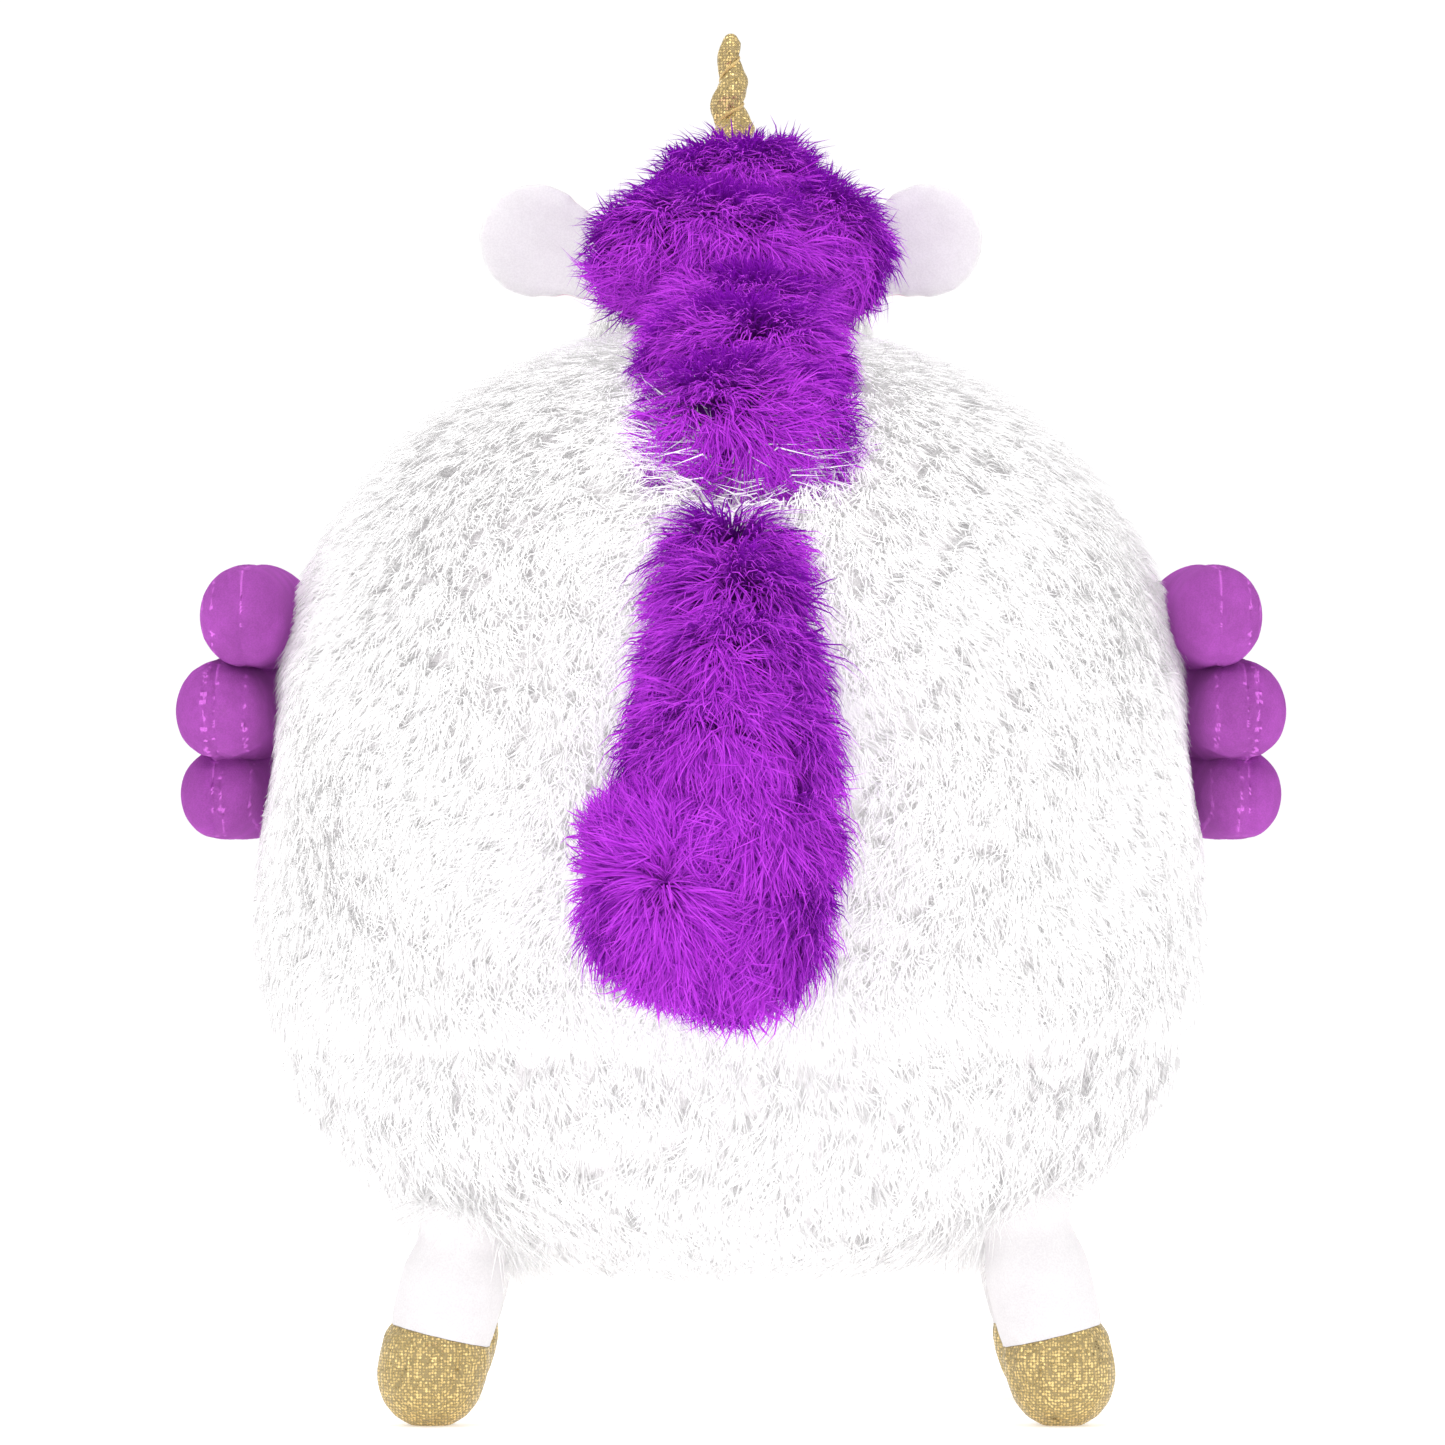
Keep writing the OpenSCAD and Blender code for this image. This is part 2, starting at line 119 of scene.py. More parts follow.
# The tail: centre and radius of each swell, from the root down
TAIL_SWELLS = (
    ((0, 0.193, 0.314), 0.018),
    ((0, 0.208, 0.289), 0.0225),
    ((0, 0.219, 0.262), 0.026),
    ((0, 0.223, 0.232), 0.0265),
    ((0, 0.220, 0.203), 0.024),
)
COLUMNS = 48  # tones of lock in a pile's map
HAIR_SHARE = 0.85  # a hair's width against the setting
SKIN_GAP = 0.0005  # room between a skin and what is set into it
PUSH_STEP, PUSH_LIMIT = 0.002, 0.24
SHARP_FROM = math.radians(50)
DOWN = np.array((0, 0, -1.0))


# ---------------------------------------------------------------- settings


class PlushSizes(bpy.types.PropertyGroup):
    ball_pile: bpy.props.FloatProperty(
        name="Ball pile", description="Height of the ball's pile", default=0.0120, unit="LENGTH"
    )
    mane_pile: bpy.props.FloatProperty(
        name="Mane pile", description="Height of the mane's pile", default=0.019, unit="LENGTH"
    )
    tail_pile: bpy.props.FloatProperty(
        name="Tail pile", description="Height of the tail's pile", default=0.0185, unit="LENGTH"
    )
    face_pile: bpy.props.FloatProperty(
        name="Face pile", description="Height of the pile on the muzzle", default=0.003, unit="LENGTH"
    )
    hair: bpy.props.FloatProperty(
        name="Lock width", description="Width of one lock of pile at its root", default=0.0011, unit="LENGTH"
    )
    panel_locks: bpy.props.IntProperty(
        name="Locks in a panel", description="Locks of pile on one panel of the ball", default=59000
    )
    puff_locks: bpy.props.IntProperty(
        name="Locks in a puff", description="Locks of pile on one puff of the mane", default=12000
    )
    foil_dot: bpy.props.FloatProperty(
        name="Foil dot", description="Pitch of the dots on the foil", default=0.0012, unit="LENGTH"
    )


class PlushColours(bpy.types.PropertyGroup):
    white: bpy.props.FloatVectorProperty(
        name="White", description="Pile of the ball and head",
        subtype="COLOR", size=3, default=(0.955, 0.945, 0.95),
    )
    # painted shade: the roots of the white locks are mixed towards this colour, standing in for shade between the hairs
    white_root_shade: bpy.props.FloatVectorProperty(
        name="White, deep", description="Root of the white pile",
        subtype="COLOR", size=3, default=(0.94, 0.92, 0.932),
    )
    purple: bpy.props.FloatVectorProperty(
        name="Purple", description="Tips of the mane and tail",
        subtype="COLOR", size=3, default=(0.38, 0.015, 0.58),
    )
    # painted shade: the roots of the mane and tail locks are mixed towards this colour, standing in for shade between
    # the hairs
    purple_root_shade: bpy.props.FloatVectorProperty(
        name="Purple, deep", description="Roots of the mane and tail",
        subtype="COLOR", size=3, default=(0.17, 0.006, 0.28),
    )
    mauve: bpy.props.FloatVectorProperty(
        name="Mauve", description="Nap of the wings",
        subtype="COLOR", size=3, default=(0.74, 0.175, 0.80),
    )
    pink: bpy.props.FloatVectorProperty(
        name="Pink", description="Lining of the ears",
        subtype="COLOR", size=3, default=(0.84, 0.56, 0.66),
    )
    gold: bpy.props.FloatVectorProperty(
        name="Gold", description="Foil of the horn and hooves",
        subtype="COLOR", size=3, default=(0.88, 0.66, 0.28),
    )
    thread: bpy.props.FloatVectorProperty(
        name="Thread", description="Stitches on the muzzle",
        subtype="COLOR", size=3, default=(0.75, 0.36, 0.50),
    )


class PlushStudio(bpy.types.PropertyGroup):
    distance: bpy.props.FloatProperty(
        name="Distance", description="Camera distance from the middle of the toy", default=4.2, unit="LENGTH"
    )
    height: bpy.props.FloatProperty(name="Height", description="Camera height", default=0.2762, unit="LENGTH")
    aside: bpy.props.FloatProperty(
        name="Aside", description="Camera place towards the animal's left", default=0.0034, unit="LENGTH"
    )
    lens: bpy.props.FloatProperty(name="Lens", description="Focal length in millimetres", default=261.6)
    floor: bpy.props.FloatVectorProperty(
        name="Floor", description="Colour of the floor",
        subtype="COLOR", size=3, default=(0.985, 0.985, 0.985),
    )


# ---------------------------------------------------------------- materials


class Tone:
    """A value in a material, with arithmetic."""

    def __init__(self, finish, socket):
        self.finish, self.socket = finish, socket

    def _math(self, operation, *values):
        return self.finish.node("Math", dict(enumerate(values)), operation=operation)

    def __add__(self, other):
        return self._math("ADD", self, other)

    def __sub__(self, other):
        return self._math("SUBTRACT", self, other)

    def __rsub__(self, other):
        return self._math("SUBTRACT", other, self)

    def __mul__(self, other):
        return self._math("MULTIPLY", self, other)

    __radd__, __rmul__ = __add__, __mul__

    def spread(self, low, high):
        """0 at low and 1 at high, smoothly."""
        return self.finish.node(
            "MapRange", {"Value": self, "From Min": low, "From Max": high}, interpolation_type="SMOOTHSTEP", clamp=True
        )


class Finish:
    """A Principled material and the one method that adds its nodes."""

    def __init__(self, name, **constants):
        self.material = FINISHES[name] = bpy.data.materials.new(f"sewn_{name}")
        self.material.use_nodes = True
        self.tree = self.material.node_tree
        self.shader = self.tree.nodes["Principled BSDF"]
        for key, value in constants.items():
            self.shader.inputs[key.replace("_", " ")].default_value = value

    def node(self, kind, inputs=None, out=0, **settings):
        made = self.tree.nodes.new("ShaderNode" + kind)
        for key, value in settings.items():
            setattr(made, key, value)
        for key, value in (inputs or {}).items():
            if isinstance(value, Tone):
                self.tree.links.new(value.socket, made.inputs[key])
            else:
                made.inputs[key].default_value = value
        return Tone(self, made.outputs[out])

    def mix(self, factor, a, b):
        colours = {0: factor, 6: a if isinstance(a, Tone) else rgba(a), 7: b if isinstance(b, Tone) else rgba(b)}
        return self.node("Mix", colours, out=2, data_type="RGBA")

    def feed(self, **links):
        for key, tone in links.items():
            self.tree.links.new(tone.socket, self.shader.inputs[key.replace("_", " ")])
        return self.material

    def place(self):
        return self.node("TexCoord", out="Object")

    def noise(self, scale, detail, rough):
        return self.node(
            "TexNoise", {"Vector": self.place(), "Scale": scale, "Detail": detail, "Roughness": rough}
        )

    def bump(self, height, strength, distance):
        return self.node("Bump", {"Height": height, "Strength": strength, "Distance": distance})


def rgba(colour):
    return (*tuple(colour)[:3], 1.0)


def scaled(colour, by):
    return tuple(min(1.0, c * by) for c in tuple(colour)[:3])


def pile_finish(name, deep, pale, bright, sheen, painted_glow):
    """Locks of long pile, each with its own tone, darker at the root by painted shade that stands in for shade between
    the hairs. The painted glow is painted light: an emission of the lock's own colour that stands in for light passed
    between hairs.
    """
    # painted light: the locks glow with their own colour, though they are no lamp
    f = Finish(
        name, Roughness=0.85, Sheen_Weight=sheen, Sheen_Roughness=0.5, Specular_IOR_Level=0.15, Emission_Strength=painted_glow
    )
    f.shader.inputs["Sheen Tint"].default_value = rgba(bright)
    u_v = f.node("SeparateXYZ", {0: f.node("UVMap", uv_map="OFBake")})
    column, along = u_v, Tone(f, u_v.socket.node.outputs[1])
    grain = f.node("TexNoise", {"W": column * 41.0, "Scale": 1.0, "Detail": 1.0}, noise_dimensions="1D")
    lock = f.mix(grain.spread(0.3, 0.7), scaled(pale, 0.94), bright)
    # painted shade: each lock runs from the deep colour at its root to its own tone over its first third, standing in
    # for shade between the hairs
    colour = f.mix(along.spread(0.0, 0.32), deep, lock)
    return f.feed(Base_Color=colour, Emission_Color=colour)


def minky_finish(name, deep, pale, mottle=0.35):
    """Short brushed nap: mottled where the nap has been stroked, with a fine grain."""
    f = Finish(name, Roughness=0.9, Sheen_Weight=0.35, Sheen_Roughness=0.45, Specular_IOR_Level=0.12)
    f.shader.inputs["Sheen Tint"].default_value = rgba(pale)
    stroked = f.noise(45.0, 3.0, 0.6)
    nap = f.noise(1400.0, 2.0, 0.7)
    tone = stroked.spread(0.36, 0.66) * mottle + nap.spread(0.3, 0.7) * (1.0 - mottle)
    height = nap * 0.7 + f.noise(420.0, 2.0, 0.6) * 0.6
    return f.feed(Base_Color=f.mix(tone, deep, pale), Normal=f.bump(height, 0.4, 0.00025))


def foil_finish(name, gold, pitch, wear=0.25):
    """Knit fabric printed with foil dots; each dot's gold is made lighter or darker at random, a painted glint, so that
    the dots seem to catch the light one by one.
    """
    f = Finish(name, Specular_IOR_Level=0.5)
    at = f.place()
    dots = {"Vector": at, "Scale": 1.0 / pitch, "Randomness": 0.35}
    cell = f.node("TexVoronoi", dots, feature="F1")
    dot = cell.spread(0.56, 0.42)
    glint = f.node("SeparateXYZ", {0: Tone(f, cell.socket.node.outputs["Color"])})
    rubbed = f.noise(60.0, 3.0, 0.6).spread(0.58, 0.72) * wear
    # painted glint: each dot's gold is picked at random between a shaded and a lit copy of the gold
    lit = f.mix(glint.spread(0.2, 0.9), scaled(gold, 0.62), scaled(gold, 1.13))
    colour = f.mix(dot * (1.0 - rubbed), scaled(gold, 0.45), lit)
    crease = f.noise(70.0, 3.0, 0.6)
    height = crease * 4.0 + dot * 0.15 + glint * 0.2
    return f.feed(
        Base_Color=colour,
        Metallic=dot * 0.85 * (1.0 - rubbed),
        Roughness=0.46 - dot * 0.24 + glint * 0.12,
        Normal=f.bump(height, 0.9, 0.002),
    )


def thread_finish(name, colour, metal=0.0):
    """Twisted sewing thread, darker in the grooves of its twist by painted shade."""
    f = Finish(name, Metallic=metal, Sheen_Weight=0.2)
    waves = {"Vector": f.place(), "Scale": 900.0, "Distortion": 1.5, "Detail": 1.0}
    twist = f.node("TexWave", waves, bands_direction="DIAGONAL")
    tone = f.node("SeparateXYZ", {0: twist})
    return f.feed(
        # painted shade: the colour is darker where the twist's bump is low, in the grooves between the plies
        Base_Color=f.mix(tone, scaled(colour, 0.6), colour),
        Roughness=0.45 + tone * 0.2,
        Normal=f.bump(tone, 0.4, 0.0002),
    )


def plastic_finish(name, colour, rough):
    """Moulded plastic with faint scuffs."""
    f = Finish(name, Coat_Roughness=0.05)
    scuff = f.noise(220.0, 4.0, 0.7)
    return f.feed(
        Base_Color=f.mix(scuff.spread(0.4, 0.8), colour, scaled(colour, 1.5)),
        Roughness=rough + scuff * 0.08,
        Coat_Weight=0.9 - scuff * 0.2,
    )


FINISHES = {}


def finishes():
    """The toy's own materials by slot, made at the first call."""
    if "white_plush" not in FINISHES:
        make_finishes(bpy.context.scene.plush_colours, bpy.context.scene.plush_sizes)
    return FINISHES


def make_finishes(c, s):
    # the last number of each pile finish is its painted glow, painted light that brightens the locks and the shade
    # between them
    pile_finish("white_plush", c.white_root_shade, c.white, (0.975, 0.97, 0.97), 0.1, 0.15)
    pile_finish("purple_plush", c.purple_root_shade, c.purple, (0.62, 0.06, 0.86), 0.2, 0.05)
    minky_finish("white_minky", (0.76, 0.735, 0.75), (0.86, 0.84, 0.85))
    minky_finish("mauve_minky", scaled(c.mauve, 0.72), c.mauve, 0.5)
    minky_finish("pink_minky", scaled(c.pink, 0.84), c.pink)
    foil_finish("gold_foil", c.gold, s.foil_dot)
    thread_finish("gold_thread", c.gold, 0.7)
    thread_finish("pink_thread", c.thread)
    plastic_finish("eye_plastic", (0.012, 0.010, 0.014), 0.12)
    plastic_finish("washer_plastic", (0.72, 0.71, 0.68), 0.4)


# ---------------------------------------------------------------- shapes


def power(value, exponent):
    return max(value, 0.0) ** exponent


def ball_point(degrees):
    """Radius and height of the ball's skin at an angle of its profile."""
    t = math.radians(degrees)
    p, depth = (EXP_DOWN, BALL_DOWN) if degrees < 0 else (EXP_UP, BALL_UP)
    return BALL_R * power(math.cos(t), 2 / p), BALL_MID + math.copysign(depth * abs(math.sin(t)) ** (2 / p), degrees)


def in_ball(points, grow=0.0):
    """True where points are inside the ball."""
    r = np.hypot(points[:, 0], points[:, 1]) / (BALL_R + grow)
    z = points[:, 2] - BALL_MID
    up = z > 0
    z = np.abs(z) / np.where(up, BALL_UP + grow, BALL_DOWN + grow)
    p = np.where(up, EXP_UP, EXP_DOWN)
    return r**p + z**p < 1


def skin_radius(rise):
    return BALL_R * (1 - (rise / BALL_UP) ** EXP_UP) ** (1 / EXP_UP)


def head_radius(along):
    u = (along - HEAD_MID) / (HEAD_BACK if along < HEAD_MID else HEAD_FRONT)
    return HEAD_R * power(1 - abs(u) ** EXP_UP, 1 / EXP_UP) * (1 - HEAD_TAPER * u)


def head_frame(points):
    """Place along the head's axis, sideways and upwards, of points."""
    rel = points - np.array(HEAD_AT)
    return rel @ np.array(HEAD_AXIS), rel[:, 0], rel @ np.array(HEAD_UP)


def in_head(points, grow=0.0):
    along, x, y = head_frame(points)
    u = (along - HEAD_MID) / np.where(along < HEAD_MID, HEAD_BACK + grow, HEAD_FRONT + grow)
    r = (HEAD_R + grow) * np.maximum(1 - np.abs(u) ** EXP_UP, 0) ** (1 / EXP_UP) * (1 - HEAD_TAPER * u)
    return np.hypot(x, y) < r


def head_point(along, angle, d):
    return HEAD_AT + HEAD_AXIS * along + Vector((d * math.cos(angle), 0, 0)) + HEAD_UP * (d * math.sin(angle))


def lathe(profile, steps, turn=2 * math.pi, start=0.0):
    """A bmesh of a profile of (radius, height) spun about Z."""
    bm = bmesh.new()
    verts = [bm.verts.new((r * math.cos(start), r * math.sin(start), z)) for r, z in profile]
    edges = [bm.edges.new(pair) for pair in zip(verts, verts[1:])]
    bmesh.ops.spin(
        bm, geom=verts + edges, cent=(0, 0, 0), axis=(0, 0, 1), angle=turn, steps=steps, use_merge=turn > 6.28
    )
    bmesh.ops.remove_doubles(bm, verts=bm.verts, dist=1e-5)
    bmesh.ops.recalc_face_normals(bm, faces=bm.faces)
    return bm


def facing_out(bm, middle):
    """Turns an open shell's faces away from a point inside it."""
    bm.normal_update()
    if sum((f.calc_center_median() - middle).dot(f.normal) * f.calc_area() for f in bm.faces) < 0:
        bmesh.ops.reverse_faces(bm, faces=bm.faces)


def press_out(bm, centre, radius):
    """Dents a skin by a round pocket."""
    for v in bm.verts:
        out = v.co - centre
        if 0 < out.length < radius:
            v.co = centre + out.normalized() * radius


def make(name, bm, material):
    mesh = bpy.data.meshes.new(name)
    bm.normal_update()
    bm.to_mesh(mesh)
    bm.free()
    obj = bpy.data.objects.new(name, mesh)
    bpy.context.scene.collection.objects.link(obj)
    mesh.materials.append(finishes()[material])
    mesh.shade_smooth()
    mesh.set_sharp_from_angle(angle=SHARP_FROM)
    return obj


def bake_modifiers(obj):
    """Puts what the modifiers make into the mesh."""
    seen = obj.evaluated_get(bpy.context.evaluated_depsgraph_get())
    mesh = bpy.data.meshes.new_from_object(seen)
    obj.modifiers.clear()
    old, obj.data = obj.data, mesh
    bpy.data.meshes.remove(old)


def points_of(mesh):
    flat = np.empty(len(mesh.vertices) * 3, np.float32)
    mesh.vertices.foreach_get("co", flat)
    return flat.reshape(-1, 3).astype(float)


def stuff(bm, voxel, cap, pressure=4.0, frames=20):
    """Remeshes closed shapes and blows them up as stuffed cloth. No point moves further than cap."""
    obj = make("stuffing_form", bm, "white_minky")
    mod = obj.modifiers.new("Remesh", "REMESH")
    mod.mode, mod.voxel_size, mod.use_smooth_shade = "VOXEL", voxel, True
    bake_modifiers(obj)
    rest = points_of(obj.data)
    cloth = obj.modifiers.new("Cloth", "CLOTH")
    cloth.settings.use_pressure = True
    cloth.settings.uniform_pressure_force = pressure
    cloth.settings.effector_weights.gravity = 0
    scene = bpy.context.scene
    for number in range(1, frames + 1):
        scene.frame_set(number)
    bake_modifiers(obj)
    scene.frame_set(1)
    moved = points_of(obj.data) - rest
    far = np.linalg.norm(moved, axis=1, keepdims=True)
    obj.data.vertices.foreach_set("co", (rest + moved * np.minimum(1, cap / np.maximum(far, 1e-9))).ravel())
    sub = obj.modifiers.new("Subdivision", "SUBSURF")
    sub.levels = sub.render_levels = 1
    bake_modifiers(obj)
    out = bmesh.new()
    out.from_mesh(obj.data)
    bpy.data.objects.remove(obj)
    return out


def blobs(balls):
    """Round lumps in one bmesh, from (centre, radius) pairs."""
    bm = bmesh.new()
    for centre, radius in balls:
        bmesh.ops.create_icosphere(bm, subdivisions=3, radius=radius, matrix=Matrix.Translation(centre))
    return bm


def pour(bm, into):
    """Adds a bmesh to another and frees it."""
    mesh = bpy.data.meshes.new("part")
    bm.to_mesh(mesh)
    bm.free()
    into.from_mesh(mesh)
    bpy.data.meshes.remove(mesh)


def cut(bm, at, normal):
    """The part of closed shapes behind a plane, closed with flat faces."""
    half = bm.copy()
    bmesh.ops.bisect_plane(
        half, geom=half.verts[:] + half.edges[:] + half.faces[:], plane_co=at, plane_no=normal, clear_outer=True
    )
    rim = [e for e in half.edges if e.is_boundary]
    bmesh.ops.holes_fill(half, edges=rim, sides=0)
    bmesh.ops.recalc_face_normals(half, faces=half.faces)
    return half


# ---------------------------------------------------------------- pile


class Pile:
    """How a pile grows: spread of a tuft, hairs in it, how far they gather and stray, and how wild it is."""

    def __init__(self, width, tuft, blades, clump, stray=0.4, rows=(0, 0.5), wild=0.15):
        self.tuft, self.blades, self.clump = tuft, blades, clump
        self.stray, self.width, self.rows, self.wild = stray, width, rows, wild


def fluff(s):
    """The long, loose pile of the mane and tail."""
    return Pile(s.hair * HAIR_SHARE, 0.0026, 12, 0.35, stray=0.35, rows=(0, 0.35, 0.7), wild=0.3)


def unit(v):
    return v / np.maximum(np.linalg.norm(v, axis=-1, keepdims=True), 1e-9)


def scatter(bm, count, rng):
    """Even random points on a skin, with its normals."""
    work = bm.copy()
    bmesh.ops.triangulate(work, faces=work.faces)
    work.normal_update()
    corner = np.array([[v.co[:] for v in f.verts] for f in work.faces])
    normal = np.array([[v.normal[:] for v in f.verts] for f in work.faces])
    work.free()
    area = np.linalg.norm(np.cross(corner[:, 1] - corner[:, 0], corner[:, 2] - corner[:, 0]), axis=1)
    face = rng.choice(len(area), count, p=area / area.sum())
    a, b = np.sqrt(rng.random(count)), rng.random(count)
    w = np.stack([1 - a, a * (1 - b), a * b], axis=1)[:, :, None]
    return (corner[face] * w).sum(1), unit((normal[face] * w).sum(1))


def grow_locks(rng, points, normals, lie, pile, rise, reach):
    """Blades in tufts. Returns corners, faces of four and of three, map corners and normals."""
    t_count, k = len(points), pile.blades
    n = normals[:, None, :]
    d = along_skin(lie, normals)[:, None, :]
    side = np.cross(n, d)
    angle = rng.uniform(0, 2 * math.pi, (t_count, k, 1))
    radius = pile.tuft * np.sqrt(rng.random((t_count, k, 1)))
    off = radius * (np.cos(angle) * d + np.sin(angle) * side)
    root = points[:, None, :] + off - n * 0.0008
    turn = rng.normal(0, pile.stray, (t_count, k, 1))
    way = np.cos(turn) * d + np.sin(turn) * side
    up = rise[:, None, None] * rng.uniform(1 - pile.wild, 1 + pile.wild * 0.6, (t_count, k, 1))
    out = reach[:, None, None] * rng.uniform(0.65, 1.3, (t_count, k, 1))
    # most hairs bend over and lie on the pile, and a few stand up
    bow = rng.uniform(1.8, 3.4, (t_count, k, 1))

    def at(t):
        return root + n * (up * (1 - (1 - t) ** bow)) + way * (out * t**1.25) - off * (pile.clump * t)

    tip = at(1.0)
    along = unit(tip - root)
    flat = unit(np.cross(along, n))
    roll = rng.uniform(-0.8, 0.8, (t_count, k, 1))
    across = np.cos(roll) * flat + np.sin(roll) * np.cross(along, flat)
    face_out = unit(np.cross(across, along))
    blades = t_count * k
    rows = []
    for t in pile.rows:
        half = across * (pile.width * 0.5 * (1 - t) ** 0.5)
        rows += [at(t) - half, at(t) + half]
    rows.append(tip)
    corners = np.stack([r.reshape(blades, 3) for r in rows], axis=1)
    bend = unit(n + 0.22 * face_out + 0.10 * along).reshape(blades, 1, 3)
    normal = np.repeat(bend, corners.shape[1], axis=1)
    per = corners.shape[1]
    base = np.arange(blades)[:, None] * per
    quads = [base + np.array([2 * i, 2 * i + 1, 2 * i + 3, 2 * i + 2]) for i in range(len(pile.rows) - 1)]
    last = 2 * len(pile.rows) - 2
    tris = base + np.array([last, last + 1, last + 2])
    column = rng.integers(0, COLUMNS, (t_count, 1))
    column = (column + rng.integers(0, 3, (t_count, k))) % COLUMNS
    left, right = (column.reshape(-1) + 0.08) / COLUMNS, (column.reshape(-1) + 0.92) / COLUMNS
    v = [0.02 + 0.96 * t for t in pile.rows] + [0.98]
    level = [np.full(blades, height) for height in v]
    quad_maps = [
        np.stack([left, low, right, low, right, high, left, high], 1) for low, high in zip(level[:-2], level[1:-1])
    ]
    tri_map = np.stack([left, level[-2], right, level[-2], (left + right) / 2, level[-1]], 1)
    return corners.reshape(-1, 3), quads, tris, quad_maps, tri_map, normal.reshape(-1, 3)


def furry(name, skin, grown, material):
    """One mesh of a skin and its locks."""
    mesh = bpy.data.meshes.new(name)
    skin.normal_update()
    skin_points = np.array([v.co[:] for v in skin.verts])
    skin_normals = np.array([v.normal[:] for v in skin.verts])
    skin.verts.index_update()
    loops, sizes, maps = [], [], []
    small = np.array([(0.2, 0.002), (0.8, 0.002), (0.8, 0.018), (0.2, 0.018)]) / np.array([COLUMNS, 1])
    for f in skin.faces:
        loops.extend(v.index for v in f.verts)
        sizes.append(len(f.verts))
        maps.extend(small[i % 4] for i in range(len(f.verts)))
    skin.free()
    points, normals = [skin_points], [skin_normals]
    loops, sizes, maps = [np.array(loops, int)], [np.array(sizes, int)], [np.array(maps)]
    base = len(skin_points)
    for corners, quads, tris, quad_maps, tri_map, normal in grown:
        points.append(corners)
        normals.append(normal)
        for quad, quad_map in zip(quads, quad_maps):
            loops.append((quad + base).ravel())
            sizes.append(np.full(len(quad), 4))
            maps.append(quad_map.reshape(-1, 2))
        loops.append((tris + base).ravel())
        sizes.append(np.full(len(tris), 3))
        maps.append(tri_map.reshape(-1, 2))
        base += len(corners)
    points, normals = np.concatenate(points), np.concatenate(normals)
    loops, sizes, maps = np.concatenate(loops), np.concatenate(sizes), np.concatenate(maps)
    mesh.vertices.add(len(points))
    mesh.vertices.foreach_set("co", points.astype(np.float32).ravel())
    mesh.loops.add(len(loops))
    mesh.loops.foreach_set("vertex_index", loops.astype(np.int32))
    mesh.polygons.add(len(sizes))
    mesh.polygons.foreach_set("loop_start", (np.cumsum(sizes) - sizes).astype(np.int32))
    mesh.update(calc_edges=True)
    mesh.uv_layers.new(name="OFBake").data.foreach_set("uv", maps.astype(np.float32).ravel())
    mesh.shade_smooth()
    mesh.normals_split_custom_set_from_vertices(normals.astype(np.float32))
    mesh.materials.append(finishes()[material])
    obj = bpy.data.objects.new(name, mesh)
    bpy.context.scene.collection.objects.link(obj)
    return obj


def settle(obj, body, slot, *nodes, fill=None):
    """A finished piece rides on its body and stands for its CAD nodes."""
    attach(obj, body)
    if nodes:
        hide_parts(*nodes)
    return obj


def sway(points, seed):
    """A slow, smooth turn of the nap from place to place."""
    p = points * 1000
    wide = np.sin(p[:, 0] / 23 + seed) * np.cos(p[:, 2] / 31 - seed)
    return 0.55 * wide + 0.35 * np.sin(p[:, 1] / 17 + p[:, 2] / 19 + 2 * seed)


def along_skin(lie, normals):
    """Directions laid flat on the skin."""
    return unit(lie - normals * (lie * normals).sum(1, keepdims=True))


def turned(lie, normals, angle):
    side = np.cross(normals, lie)
    return lie * np.cos(angle)[:, None] + side * np.sin(angle)[:, None]


# ---------------------------------------------------------------- pieces


def hips():
    return [JOINTS[f"leg_{end}_{side}_swing"] for end in ("rear", "front") for side in SIDES]


